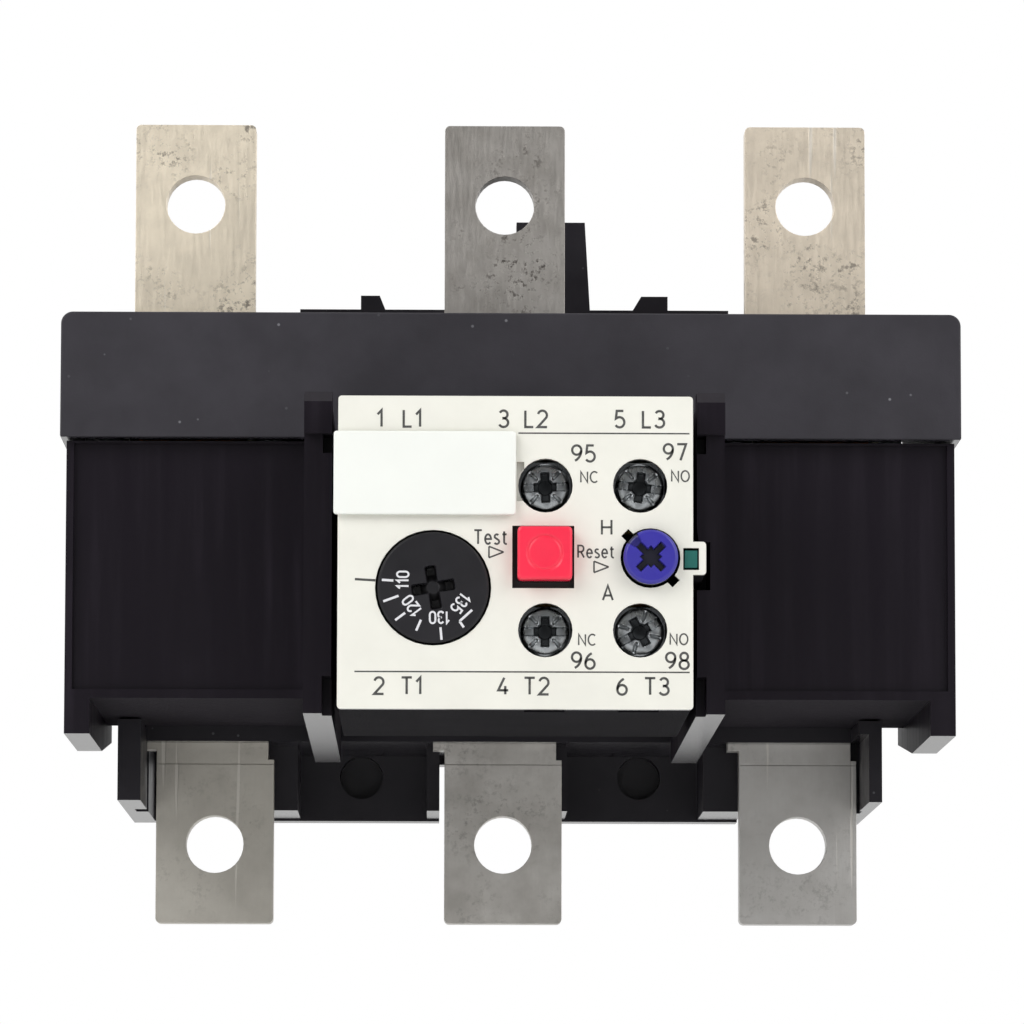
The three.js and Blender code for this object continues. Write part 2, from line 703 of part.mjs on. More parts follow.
// ---- busbars and current transformers ----
function busbar({ upperX, lowerX }) {
  const half = barWidth / 2;
  const end = barLength / 2;
  const upperY = around(upperBarY, barThickness / 2);
  const lowerY = around(lowerBarY, barThickness / 2);
  const shoulderZ = housingBottom - baseFloorDrop - shoulderDrop;
  const reliefZ = shoulderZ - reliefDrop;
  const upperOutline = roundedRect(around(upperX, half), [linkBottom, end], barCorner);
  const upper = panel(upperOutline, upperY, 3);
  const link = block(
    [Math.min(upperX, lowerX) - half, Math.max(upperX, lowerX) + half],
    [upperY[0], lowerY[1]],
    span(linkBottom, barThickness),
  );
  const lowerOutline = roundedRect(around(lowerX, half), [-end, linkBottom + barThickness], barCorner);
  const lower = panel(lowerOutline, lowerY, 3);
  const shoulder = block(
    [lowerX - half - barShoulder, lowerX],
    lowerY,
    [shoulderZ, linkBottom + barThickness],
  );
  const relief = block(
    [lowerX + half - barRelief, lowerX + half + over],
    grow(lowerY, over),
    [reliefZ, linkBottom],
  );
  const whole = [Math.min(upperX, lowerX) - barWidth, Math.max(upperX, lowerX) + barWidth];
  const upperStep = block(
    whole,
    [upperY[0] - over, upperY[0] + terminalStep],
    [linkBottom - over, coverTop + terminalMargin],
  );
  const lowerStep = block(
    whole,
    [lowerY[0] - over, lowerY[0] + terminalStep],
    [reliefZ - terminalMargin, linkBottom],
  );
  const upperHole = rodY(barHoleRadius, upperX, end - barHoleInset, grow(upperY, over), 32);
  const lowerHole = rodY(barHoleRadius, lowerX, barHoleInset - end, grow(lowerY, over), 32);
  return cut(join(upper, link, lower, shoulder), relief, upperStep, lowerStep, upperHole, lowerHole);
}

const legY = span(coreFrontY, coreLeg);
const legZ = span(coreBottom, coreHeight);
function transformerCore() {
  const outer = block([-coreHalf, coreHalf], [coreFrontY, coreRearY], legZ);
  const windowY = [coreFrontY + coreLeg, coreRearY - coreLeg];
  return outer.subtract(block([-coreWindowHalf, coreWindowHalf], windowY, grow(legZ, over)));
}

function bobbin() {
  const half = coreWindowHalf - gap;
  const tube = block([-half, half], grow(legY, gap + bobbinWall), grow(legZ, gap + bobbinWall));
  const flanges = [-1, 1].map((side) => {
    const across = sorted(side * half, side * (half - bobbinWall));
    return block(across, grow(legY, bobbinFlange), grow(legZ, bobbinFlange));
  });
  const bore = block([-half - over, half + over], grow(legY, gap), grow(legZ, gap));
  return cut(join(tube, ...flanges), bore);
}

function winding() {
  const half = coreWindowHalf - gap - bobbinWall - gap;
  const inner = gap + bobbinWall + gap;
  const outer = block([-half, half], grow(legY, inner + windingBuild), grow(legZ, inner + windingBuild));
  return outer.subtract(block([-half - over, half + over], grow(legY, inner), grow(legZ, inner)));
}

// A flat twin lead from a heater, back through the lead window and across to its bobbin.
function secondaryLead({ upperX, heaterX: x }) {
  const heights = around(leadZ, leadHalf);
  const heaterBackY = slideY + heaterDepth / 2 + gap;
  const crossY = span(frontY + frontWall + leadReach, leadHalf);
  const end = Math.abs(upperX - x) < coreWindowHalf - bobbinFlange ? x : upperX;
  const first = block(around(x, leadHalf), [heaterBackY, crossY[1]], heights);
  const across = block(grow(sorted(x, end), leadHalf), crossY, heights);
  const last = block(around(end, leadHalf), [crossY[0], coreFrontY - bobbinFlange - gap], heights);
  return join(first, across, last);
}

// ---- front module ----
const terminalZ = (side) => middleZ + side * screwRows / 2;
const flagZ = middleZ - flagLow;
const buttonZ = middleZ + buttonRise;
const buttonHole = {
  x: [buttonX - buttonWidth / 2 - buttonRoomLeft, buttonX + buttonWidth / 2 + gap],
  z: [buttonZ - buttonHeight / 2 - buttonRoomBelow, buttonZ + buttonHeight / 2 + gap],
};

function frontPlate() {
  const halfWidth = plateWidth / 2;
  const across = [faceY, plateBackY];
  const through = grow(across, over);
  const outline = roundedRect([-halfWidth, halfWidth], [plateBottom, plateTop], plateCorner);
  const tabX = [halfWidth - flagTabReach, halfWidth + flagTabReach];
  const tabOutline = roundedRect(tabX, around(middleZ, flagTabHalf), plateCorner);
  const plate = panel(outline, across, 3);
  const tab = panel(tabOutline, across, 3);
  let body = plate.add(tab);
  for (const { x, side } of terminals) {
    body = body.subtract(rodY(wellRadius, x, terminalZ(side), through, 28));
  }
  const slitY = [faceY - over, faceY + slitDepth];
  const resetNotches = [-Math.PI / 4, Math.PI * 0.75].map((angle) => {
    const notch = new THREE.BoxGeometry(2, 2 * (plateThickness + gap), notchWidth);
    notch.translate(resetHoleRadius - flagPlay, 0, 0).rotateY(-angle);
    return solid(notch.translate(resetX, faceY, middleZ));
  });
  return cut(
    body,
    rodY(dialRadius + gap, dialX, middleZ - dialDrop, through, 40),
    block(buttonHole.x, through, buttonHole.z),
    rodY(resetHoleRadius, resetX, middleZ, through, 28),
    ...resetNotches,
    block(around(flagX, flagWidth / 2 + flagPlay), through, around(flagZ, flagHeight / 2 + flagPlay)),
    block(span(labelRight + slitRoom, slitWidth), slitY, around(terminalZ(1) + weld, slitHalf)),
  );
}

function moduleCase() {
  const outer = block([-moduleHalf, moduleHalf], [moduleFrontY, moduleBackY], [moduleBottom, moduleTop]);
  const inner = block(
    [-moduleInner, moduleInner],
    [moduleFrontY - over, moduleBackY - moduleWall],
    [moduleFloor, moduleCeiling],
  );
  const bulgeX = [moduleInner, moduleHalf + bulgeProud];
  const flagBulge = block(bulgeX, [moduleFrontY, faceY + bulgeEnd], around(middleZ, bulgeHalf));
  const wayEnd = faceY + bulgeEnd - over;
  const wayZ = around(middleZ, flagHeight / 2 + gap);
  const flagWay = block(around(flagX, flagWidth / 2 + gap), [moduleFrontY - over, wayEnd], wayZ);
  const flagDoor = block([moduleInner - over, flagX], [wayEnd - flagDoorLength, wayEnd], wayZ);
  const guideY = span(faceY + guideStart, guideThickness);
  const guide = block([buttonX - guideHalf, moduleHalf - weld], guideY, around(middleZ, guideHalf));
  const stemRoom = buttonStem + guidePlay;
  const buttonGuide = block(around(buttonX, stemRoom), grow(guideY, over), around(middleZ, stemRoom));
  const resetGuide = rodY(plungerRadius + guidePlay, resetX, middleZ, grow(guideY, over), 16);
  const slideRest = block(
    around(heaterX, heaterPitch + over),
    around(slideY, bimetalWidth / 2),
    [moduleFloor - weld, lowerSlideBottom - gap],
  );
  const wireWays = terminals.map(({ x, side }) => {
    const wall = side > 0 ? [moduleCeiling, moduleTop] : [moduleBottom, moduleFloor];
    return block(around(x, wireWayHalf), [faceY + wireWayStart, faceY + wireWayEnd], grow(wall, over));
  });
  const shell = outer.subtract(inner).add(flagBulge);
  const guided = cut(join(shell, guide, slideRest), buttonGuide, resetGuide);
  return cut(guided, flagWay, flagDoor, leadWindow, ...wireWays);
}

function blankLabel() {
  const across = [labelRight - labelWidth, labelRight];
  const heights = [plateTop - labelDrop - labelHeight, plateTop - labelDrop];
  const outline = roundedRect(across, heights, labelCorner);
  return panel(outline, [faceY - gap - labelThickness, faceY - gap], 3);
}

function currentDial() {
  const z = middleZ - dialDrop;
  const top = faceY - dialProud;
  const flangeY = span(plateBackY + gap, flangeThickness);
  const disc = rodY(dialRadius, dialX, z, [top, flangeY[0] + weld], 40);
  const flange = rodY(dialRadius + dialFlange, dialX, z, flangeY, 32);
  const shaft = rodY(dialShaftRadius, dialX, z, [flangeY[0], camY + weld], 20);
  const cam = rodY(camRadius, dialX, z, [camY, contactY + over], 24);
  const size = 4 * camRadius;
  const camSlope = solid(new THREE.BoxGeometry(size, size, size)
    .translate(0, size / 2, 0)
    .rotateZ(camAngle)
    .translate(dialX, contactY + camRadius * camAngle, z));
  const cross = crossRecess([5.6, 2.4, 1.3], -dialCrossTurn, dialX, top, z);
  return cut(join(disc, flange, shaft, cam), camSlope, ...cross);
}

function testButton() {
  const flangeY = span(plateBackY + weld, flangeThickness);
  const cap = panel(
    roundedRect(around(buttonX, buttonWidth / 2), around(buttonZ, buttonHeight / 2), buttonCorner),
    [faceY - buttonProud, flangeY[0] + weld],
    3,
  );
  const flange = block(grow(buttonHole.x, gap), flangeY, grow(buttonHole.z, gap));
  const stem = block(
    around(buttonX, buttonStem),
    [flangeY[0] + weld, faceY + pushEnd],
    around(middleZ, buttonStem),
  );
  return join(cap, flange, stem);
}

const plungerY = span(plateBackY + guidePlay + gap, over);

function resetKnob() {
  const front = faceY - resetProud;
  const knob = rodY(resetRadius, resetX, middleZ, [front, plungerY[0] - gap], 28);
  return cut(knob, ...crossRecess([4.6, 2.4, 0.9], Math.PI / 4 + resetCrossTurn, resetX, front, middleZ));
}

function resetPlunger() {
  const end = faceY + pushEnd;
  const head = rodY(resetRadius - gap, resetX, middleZ, plungerY, 24);
  const shaft = rodY(plungerRadius, resetX, middleZ, [plungerY[0], end], 16);
  const foot = rodY(plungerFootRadius, resetX, middleZ, [end - plungerFoot, end], 16);
  return join(head, shaft, foot);
}

function tripIndicator() {
  const across = around(flagX, flagWidth / 2);
  const front = faceY + flagSink;
  const end = front + flagLength;
  const flag = block(across, [front, end], around(flagZ, flagHeight / 2 - flagLow));
  const footX = [moduleInner - over, flagX];
  const foot = block(footX, [end - flagFootLength, end], around(middleZ, flagFootLength / 2 - flagLow));
  return flag.add(foot);
}

// ---- terminals, drawn about their own screw axis with the plate's face at Y = 0 ----
function terminalScrew() {
  const headBack = clampFront - gap;
  const head = rodY(screwHeadRadius, 0, 0, [screwSink, headBack], 24);
  const shank = rodY(screwShankRadius, 0, 0, [headBack - weld, screwEnd], 16);
  const slotTop = screwSink - over;
  const slotY = [slotTop, screwSink + slotDepth];
  const slot = block(around(0, screwHeadRadius + over), slotY, around(0, slotHalf));
  const crossSlot = block(around(0, slotHalf), [slotTop, screwSink + crossDepth], around(0, crossHalf));
  return cut(join(head, shank), slot, crossSlot);
}

function clampWasher() {
  const across = span(clampFront, clampThickness);
  const plate = block(around(0, clampHalf), across, around(0, clampHalf));
  return plate.subtract(rodY(screwShankRadius + gap, 0, 0, grow(across, over), 16));
}

function terminalPlate(side) {
  const reach = contactY - faceY;
  const tongueEnd = middleZ + side * tongueRoom - terminalZ(side);
  const half = clampHalf - guidePlay / 2;
  const outerEdge = side * half;
  const flangeY = span(clampFront + clampThickness + gap, terminalThread);
  const tongueY = span(reach, tongueThickness);
  const rivetZ = tongueEnd + side * (contactRadius + guidePlay / 2);
  const flange = block(around(0, half), flangeY, around(0, half));
  const leg = block(around(0, tongueHalf), [flangeY[0], tongueY[1]], sorted(outerEdge, outerEdge - side));
  const tongue = block(around(0, tongueHalf), tongueY, sorted(outerEdge, tongueEnd));
  const rivet = rodY(contactRadius, 0, rivetZ, [reach + gap, reach + rivetReach], 16);
  const thread = rodY(screwShankRadius + gap, 0, 0, grow(flangeY, over), 16);
  return join(flange, leg, tongue, rivet).subtract(thread);
}

// ---- mechanism ----
const rivetBackY = contactY + rivetReach;
const ncBridgeY = span(rivetBackY + gap, bridgeThickness);
const noBridgeY = span(rivetBackY + contactGap, bridgeThickness);
const hubZ = [lowerSlideBottom + gap, middleZ + gap / 2];
const armZ = [lowerSlideBottom + gap, upperSlideBottom + slideThickness + gap];
const compZ = around(middleZ - rockerHalf, compHalf);

function contactBridge(x, across) {
  return block(around(x, bridgeWidth / 2), across, around(middleZ, bridgeHalf));
}

function contactRocker() {
  const back = rockerY + rockerBack;
  const rest = rockerY - 2 * trunnionRadius;
  const closedX = rockerX - rockerArm;
  const openX = rockerX + rockerArm;
  const heights = around(middleZ, rockerHalf);
  const body = slab([
    [closedX - rockerTail, rest],
    [closedX - seatHalf, rest],
    [closedX - seatHalf, ncBridgeY[1] + gap],
    [closedX + seatHalf, ncBridgeY[1] + gap],
    [closedX + seatHalf, rest],
    [openX + rockerTip, noBridgeY[1] + gap],
    [openX + rockerTip, back],
    [closedX - rockerTail, back],
  ], heights);
  const lugEnd = rockerHalf + 2 * gap + lugThickness;
  const trunnions = rodZ(trunnionRadius, rockerX, rockerY, around(middleZ, lugEnd));
  const hub = rodZ(bridgeWidth, rockerX, rockerY, heights);
  return join(body, hub, trunnions);
}

function mechanismFrame() {
  const plate = block(
    around(0, moduleInner - framePlay),
    span(frameY, frameThickness),
    [moduleFloor + framePlay, moduleCeiling - framePlay],
  );
  const lug = (x, y, z, size) => cut(
    block(around(x, size), [y - size, frameY + weld], z),
    rodZ(trunnionRadius + gap, x, y, grow(z, over)),
  );
  const rockerLugs = [-1, 1].map((side) => {
    const inner = side * (rockerHalf + gap);
    const z = sorted(middleZ + inner, middleZ + inner + side * lugThickness);
    return lug(rockerX, rockerY, z, lugHalf);
  });
  const leverLugs = [
    lug(leverX, leverY, [moduleFloor + framePlay, hubZ[0] - gap], lugHalf),
    lug(leverX, leverY, span(hubZ[1] + gap, lugThickness), lugHalf),
  ];
  const armWindow = block(
    around(leverX, leverHalf + slideTravel + 2 * gap),
    grow(span(frameY, frameThickness), framePlay),
    grow(armZ, gap),
  );
  const posts = heaterPitch + carrierHalf - gap;
  const carrierPosts = [-1, 1].map((side) => block(
    around(heaterX + side * posts, over),
    [frameY + over, slideY - carrierHalf - weld],
    [moduleCeiling - carrierHeight - framePlay, moduleCeiling - framePlay],
  ));
  return cut(join(plate, ...rockerLugs, ...leverLugs, ...carrierPosts), armWindow);
}

function tripLever() {
  const hub = rodZ(leverHubRadius, leverX, leverY, hubZ);
  const trunnions = rodZ(trunnionRadius, leverX, leverY, grow(hubZ, lugThickness - framePlay / 2));
  const across = around(leverX, leverHalf);
  const rearArm = block(across, [leverY, slideY + weld], armZ);
  const frontArm = block(across, [rivetBackY + compThickness + gap, leverY], compZ);
  return join(hub, trunnions, rearArm, frontArm);
}

function compensationBimetal() {
  return block([leverX - seatHalf, leverX + compReach], span(rivetBackY, compThickness), compZ);
}

function snapSpring() {
  const bow = 1.6;
  const leaf = 0.4;
  const half = 2.5;
  const front = rockerY + bridgeWidth + gap;
  const back = frameY - gap;
  const middle = (front + back) / 2;
  return slab([
    [rockerX - half, front],
    [rockerX + half, front],
    [rockerX + half + bow, middle],
    [rockerX + half, back],
    [rockerX - half, back],
    [rockerX - half, back - leaf],
    [rockerX + half - leaf / 2, back - leaf],
    [rockerX + half + bow - leaf, middle],
    [rockerX + half - leaf / 2, front + leaf],
    [rockerX - half, front + leaf],
  ], around(middleZ, compHalf));
}

// A slide pushed towards -X by the strips, with room for the strips as it moves away.
function slideBar(bottom) {
  const left = leverX + leverHalf + gap;
  const right = heaterX + heaterPitch + carrierHalf + weld;
  const z = span(bottom, slideThickness);
  const bar = block([left + noseLength, right], around(slideY, carrierHalf), z);
  const nose = block(span(left, noseLength + weld), around(slideY - weld, noseHalf), z);
  const windows = poles.map(({ heaterX: x }) => block(
    [x - bimetalThickness / 2 - gap, x + bimetalThickness / 2 + slideTravel + gap],
    around(slideY, bimetalWidth / 2 + gap),
    grow(z, over),
  ));
  return cut(bar.add(nose), ...windows);
}

const stripTop = moduleCeiling - stripSink;

function bimetalStrip(x) {
  const z = [lowerSlideBottom + gap, stripTop];
  return block(around(x, bimetalThickness / 2), around(slideY, bimetalWidth / 2), z);
}

function bimetalCarrier() {
  const x = around(heaterX, heaterPitch + carrierHalf);
  const top = moduleCeiling - framePlay;
  const body = block(x, around(slideY, carrierHalf), [top - carrierHeight, top]);
  const sockets = poles.map(({ heaterX: place }) => block(
    around(place, bimetalThickness / 2 + gap),
    around(slideY, bimetalWidth / 2 + gap),
    [top - carrierHeight - over, stripTop + gap],
  ));
  return cut(body, ...sockets);
}

function heater(x) {
  const top = moduleCeiling - carrierHeight - 2 * framePlay;
  const z = [upperSlideBottom + slideThickness + heaterRoom, top];
  const outer = block(around(x, heaterHalf), around(slideY, heaterDepth / 2), z);
  const bore = block(
    around(x, bimetalThickness / 2 + gap),
    around(slideY, bimetalWidth / 2 + gap),
    grow(z, over),
  );
  return outer.subtract(bore);
}

// ---- assembly ----
add('rear_base', rearBase(), 'baseBlack');
add('transformer_housing', transformerHousing(), 'glossBlack');
add('top_cover', topCover(), 'matteBlack');
for (const pole of poles) {
  add(`busbar_${pole.name}`, busbar(pole), 'tinned');
  const transformer = groupAt(pole.upperX, 0, 0);
  add(`transformer_core_${pole.name}`, transformerCore(), 'laminations', transformer);
  add(`bobbin_${pole.name}`, bobbin(), 'bobbin', transformer);
  add(`winding_${pole.name}`, winding(), 'copper', transformer);
  add(`secondary_lead_${pole.name}`, secondaryLead(pole), 'leadSleeve');
}
for (const [column, x] of [['left', -assemblyHalfPitch], ['right', assemblyHalfPitch]]) {
  for (const [row, z] of [['lower', lowerScrewZ], ['upper', upperScrewZ]]) {
    add(`assembly_screw_${row}_${column}`, assemblyScrew(), 'darkSteel', groupAt(x, 0, z));
  }
}
add('module_case', moduleCase(), 'matteBlack');
add('front_plate', frontPlate(), 'cream');
add('blank_label', blankLabel(), 'white');
add('current_dial', currentDial(), 'dialBlack');
add('test_button', testButton(), 'red');
add('test_spring', coilSpring(buttonX, testSpringRadius), 'springSteel');
add('reset_knob', resetKnob(), 'blue');
add('reset_plunger', resetPlunger(), 'bobbin');
add('reset_spring', coilSpring(resetX, resetSpringRadius), 'springSteel');
add('trip_indicator', tripIndicator(), 'green');
for (const { name, x, side } of terminals) {
  const terminal = groupAt(x, faceY, terminalZ(side));
  add(`terminal_screw_${name}`, terminalScrew(), 'darkSteel', terminal);
  add(`clamp_washer_${name}`, clampWasher(), 'darkSteel', terminal);
  add(`terminal_plate_${name}`, terminalPlate(side), 'brass', terminal);
}
add('mechanism_frame', mechanismFrame(), 'bobbin');
add('contact_rocker', contactRocker(), 'bobbin');
add('nc_contact_bridge', contactBridge(rockerX - rockerArm, ncBridgeY), 'brass');
add('no_contact_bridge', contactBridge(rockerX + rockerArm, noBridgeY), 'brass');
add('snap_spring', snapSpring(), 'springSteel');
add('trip_lever', tripLever(), 'bobbin');
add('compensation_bimetal', compensationBimetal(), 'springSteel');
add('trip_slide', slideBar(upperSlideBottom), 'bobbin');
add('differential_slide', slideBar(lowerSlideBottom), 'baseBlack');
add('bimetal_carrier', bimetalCarrier(), 'bobbin');
for (const { name, heaterX: x } of poles) {
  add(`bimetal_strip_${name}`, bimetalStrip(x), 'springSteel');
  add(`heater_${name}`, heater(x), 'copper');
}

export default relay;
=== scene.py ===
"""The look of a three-pole thermal overload relay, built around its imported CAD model.

The model is in metres in the CAD frame: +Z is up, and the operating face looks along -Y.
Sizes here are in millimetres, and mm() turns them into metres. Only the stage, the clip
distances and the join distances are in metres.
"""

import math

import bmesh
import bpy
from mathutils import Matrix, Vector


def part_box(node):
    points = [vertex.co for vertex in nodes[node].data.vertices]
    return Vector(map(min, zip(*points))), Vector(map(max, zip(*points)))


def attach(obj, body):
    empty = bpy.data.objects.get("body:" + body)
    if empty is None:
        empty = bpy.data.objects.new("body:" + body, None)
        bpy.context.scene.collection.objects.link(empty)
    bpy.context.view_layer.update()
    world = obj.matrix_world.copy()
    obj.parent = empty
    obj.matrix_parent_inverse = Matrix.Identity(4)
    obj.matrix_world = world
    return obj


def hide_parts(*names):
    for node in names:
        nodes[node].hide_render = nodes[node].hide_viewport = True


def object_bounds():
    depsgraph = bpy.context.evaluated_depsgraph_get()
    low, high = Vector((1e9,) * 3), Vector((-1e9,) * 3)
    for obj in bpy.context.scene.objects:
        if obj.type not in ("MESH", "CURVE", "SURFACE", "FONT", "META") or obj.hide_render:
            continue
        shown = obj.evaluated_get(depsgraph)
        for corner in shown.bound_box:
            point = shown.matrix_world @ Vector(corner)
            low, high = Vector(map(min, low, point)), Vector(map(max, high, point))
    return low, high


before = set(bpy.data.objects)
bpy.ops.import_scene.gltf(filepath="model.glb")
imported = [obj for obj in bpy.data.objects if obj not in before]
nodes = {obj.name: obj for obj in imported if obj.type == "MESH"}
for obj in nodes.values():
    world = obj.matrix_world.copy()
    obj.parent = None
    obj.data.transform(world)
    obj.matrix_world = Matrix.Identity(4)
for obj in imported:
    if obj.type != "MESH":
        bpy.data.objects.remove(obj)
cad_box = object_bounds()


def mm(*values):
    """Millimetres to metres: one value, or a Vector of three."""
    return values[0] / 1000 if len(values) == 1 else Vector(values) / 1000


def box_of(name):
    """A CAD node's low and high corner, in millimetres."""
    low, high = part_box(name)
    return Vector(low) * 1000, Vector(high) * 1000


# ---- camera: below the middle of the relay, looking slightly up at it ----
CAMERA_PLACE = (-10.33, -935.0, -95.18)
CAMERA_PITCH = math.radians(6.258)
CAMERA_YAW = math.radians(0.708)
CAMERA_ROLL = math.radians(0.12)
CAMERA_LENS = 223.43
SENSOR_WIDTH = 36.0
CLIP_START = 0.05
CLIP_END = 20.0


def add_camera():
    """The camera at the photo's viewing angle, rolled a little as the photo is."""
    data = bpy.data.cameras.new("camera")
    data.lens = CAMERA_LENS
    data.sensor_width = SENSOR_WIDTH
    data.clip_start = CLIP_START
    data.clip_end = CLIP_END
    forward = Vector((
        math.sin(CAMERA_YAW) * math.cos(CAMERA_PITCH),
        math.cos(CAMERA_YAW) * math.cos(CAMERA_PITCH),
        math.sin(CAMERA_PITCH),
    ))
    level_right = Vector((math.cos(CAMERA_YAW), -math.sin(CAMERA_YAW), 0))
    level_up = level_right.cross(forward)
    right = level_right * math.cos(CAMERA_ROLL) + level_up * math.sin(CAMERA_ROLL)
    up = level_up * math.cos(CAMERA_ROLL) - level_right * math.sin(CAMERA_ROLL)
    turn = Matrix((right, up, -forward)).transposed()
    camera = bpy.data.objects.new("camera", data)
    camera.matrix_world = Matrix.Translation(mm(*CAMERA_PLACE)) @ turn.to_4x4()
    bpy.context.collection.objects.link(camera)
    bpy.context.scene.camera = camera


add_camera()


# ---- materials ----
def linear(red, green, blue):
    """A colour given in display values, 0 to 255, as scene values."""
    def channel(value):
        value /= 255
        return value / 12.92 if value <= 0.04045 else ((value + 0.055) / 1.055) ** 2.4
    return (channel(red), channel(green), channel(blue), 1.0)


# A face counts as an underside as its normal's Z goes from the first value to the second.
UNDERSIDE_EDGE = -0.85
UNDERSIDE_FULL = -0.98
UNDERSIDE_ROUGH = 0.2
UNDERSIDE_FADE = 0.5
COARSE_DEPTH = 0.5
CRADLE_FOOT_TOP = -28.5
ANY_HEIGHT = 500.0
NEVER = -500.0


class Shader:
    """A node material whose texture space is the CAD frame, in metres."""

    def __init__(self, name, metallic=0.0, **sockets):
        self.material = bpy.data.materials.new(name)
        self.material.use_nodes = True
        self.tree = self.material.node_tree
        self.surface = self.tree.nodes["Principled BSDF"]
        self.surface.inputs["Metallic"].default_value = metallic
        for socket, value in sockets.items():
            self.surface.inputs[socket.replace("_", " ")].default_value = value
        self.place = self.node("ShaderNodeTexCoord").outputs["Object"]

    def node(self, kind, links=(), **settings):
        made = self.tree.nodes.new(kind)
        for key, value in settings.items():
            setattr(made, key, value)
        for socket, value in links:
            if isinstance(value, bpy.types.NodeSocket):
                self.tree.links.new(value, made.inputs[socket])
            else:
                made.inputs[socket].default_value = value
        return made

    def stretched(self, x, y, z):
        """The texture space with its axes scaled, for grain that runs one way."""
        mapping = self.node("ShaderNodeMapping", [("Vector", self.place), ("Scale", (x, y, z))])
        return mapping.outputs["Vector"]

    def noise(self, size_mm, detail=2.0, rough=0.5, space=None):
        """Noise whose features are about size_mm across."""
        made = self.node("ShaderNodeTexNoise", [
            ("Vector", space or self.place),
            ("Scale", 1000.0 / size_mm),
            ("Detail", detail),
            ("Roughness", rough),
        ])
        return made.outputs["Fac"]

    def cells(self, size_mm, space=None):
        """Distance to scattered points about size_mm apart."""
        made = self.node("ShaderNodeTexVoronoi", [
            ("Vector", space or self.place),
            ("Scale", 1000.0 / size_mm),
        ])
        return made.outputs["Distance"]

    def ranged(self, value, low, high, to_low=0.0, to_high=1.0):
        made = self.node("ShaderNodeMapRange", [
            ("Value", value),
            ("From Min", low),
            ("From Max", high),
            ("To Min", to_low),
            ("To Max", to_high),
        ])
        return made.outputs["Result"]

    def mix(self, amount, first, second):
        made = self.node("ShaderNodeMix", data_type="RGBA")
        for index, value in ((0, amount), (6, first), (7, second)):
            if isinstance(value, bpy.types.NodeSocket):
                self.tree.links.new(value, made.inputs[index])
            else:
                made.inputs[index].default_value = value
        return made.outputs[2]

    def math(self, operation, first, second):
        made = self.node("ShaderNodeMath", operation=operation)
        for index, value in enumerate((first, second)):
            if isinstance(value, bpy.types.NodeSocket):
                self.tree.links.new(value, made.inputs[index])
            else:
                made.inputs[index].default_value = value
        return made.outputs[0]

    def height(self, axis):
        split = self.node("ShaderNodeSeparateXYZ", [("Vector", self.place)])
        return split.outputs[axis]

    def facing_down(self, below):
        """1 on undersides whose Z is less than below, and 0 elsewhere."""
        normal = self.node("ShaderNodeNewGeometry").outputs["Normal"]
        split = self.node("ShaderNodeSeparateXYZ", [("Vector", normal)])
        down = self.ranged(split.outputs["Z"], UNDERSIDE_EDGE, UNDERSIDE_FULL)
        low = self.ranged(self.height("Z"), mm(below), mm(below - UNDERSIDE_FADE))
        return self.math("MULTIPLY", down, low)

    def moulded_skin(self, rough, grain, depth_mm, smooth_below):
        """Roughness and grain: glassy on low undersides, and dull and coarse on the others."""
        glassy = self.facing_down(smooth_below)
        dull = self.math("SUBTRACT", self.facing_down(ANY_HEIGHT), glassy)
        rough = self.ranged(glassy, 0.0, 1.0, rough, UNDERSIDE_ROUGH)
        self.set("Roughness", self.ranged(dull, 0.0, 1.0, rough, 1.0))
        grain = self.math("MULTIPLY", grain, self.ranged(glassy, 0.0, 1.0, 1.0, 0.0))
        coarser = self.ranged(dull, 0.0, 1.0, 1.0, COARSE_DEPTH / depth_mm)
        self.bump(self.math("MULTIPLY", grain, coarser), depth_mm, 0.5)

    def painted_depth_shade(self, tone, start_mm, end_mm, dark):
        """Painted shade: turns tone to dark between two depths, given as Y in the CAD frame, so that
        recesses look shaded.
        """
        depth = self.ranged(self.height("Y"), mm(start_mm), mm(end_mm))
        return self.mix(depth, tone, dark)

    def set(self, socket, value):
        self.tree.links.new(value, self.surface.inputs[socket])

    def bump(self, value, depth_mm, strength=1.0):
        made = self.node("ShaderNodeBump", [
            ("Height", value),
            ("Distance", mm(depth_mm)),
            ("Strength", strength),
        ])
        self.set("Normal", made.outputs["Normal"])


def moulded(name, colour, rough, grain_mm=0.35, depth_mm=0.02, vary=0.12, gloss=0.5, specks=0.0,
            painted_depth_shade=None, smooth_below=ANY_HEIGHT):
    """Moulded plastic: fine grain, slight unevenness of tone, and scattered pale dust.

    Undersides below smooth_below are smooth, and the others coarse. The recess argument is (start, end,
    colour):
    painted shade that darkens recesses with depth.
    """
    shader = Shader(name, Specular_IOR_Level=gloss)
    pale = tuple(min(1.0, part * (1 + vary) + 0.002) for part in colour[:3]) + (1.0,)
    dark = tuple(part * (1 - vary) for part in colour[:3]) + (1.0,)
    cloud = shader.noise(9.0, 4.0, 0.6)
    tone = shader.mix(shader.ranged(cloud, 0.35, 0.65), dark, pale)
    if specks:
        dust = shader.ranged(shader.cells(2.6), 0.05, 0.09, 1.0, 0.0)
        scatter = shader.ranged(shader.noise(14.0), 0.5, 0.62)
        amount = shader.math("MULTIPLY", shader.math("MULTIPLY", dust, scatter), specks)
        tone = shader.mix(amount, tone, linear(150, 150, 155))
    # Painted shade: the colour darkens deeper into recesses.
    if painted_depth_shade:
        tone = shader.painted_depth_shade(tone, *painted_depth_shade)
    shader.set("Base Color", tone)
    smear = shader.noise(4.0, 3.0, 0.6)
    matt = shader.ranged(smear, 0.3, 0.7, rough * 0.85, rough * 1.15)
    shader.moulded_skin(matt, shader.noise(grain_mm, 2.0), depth_mm, smooth_below)
    return shader.material


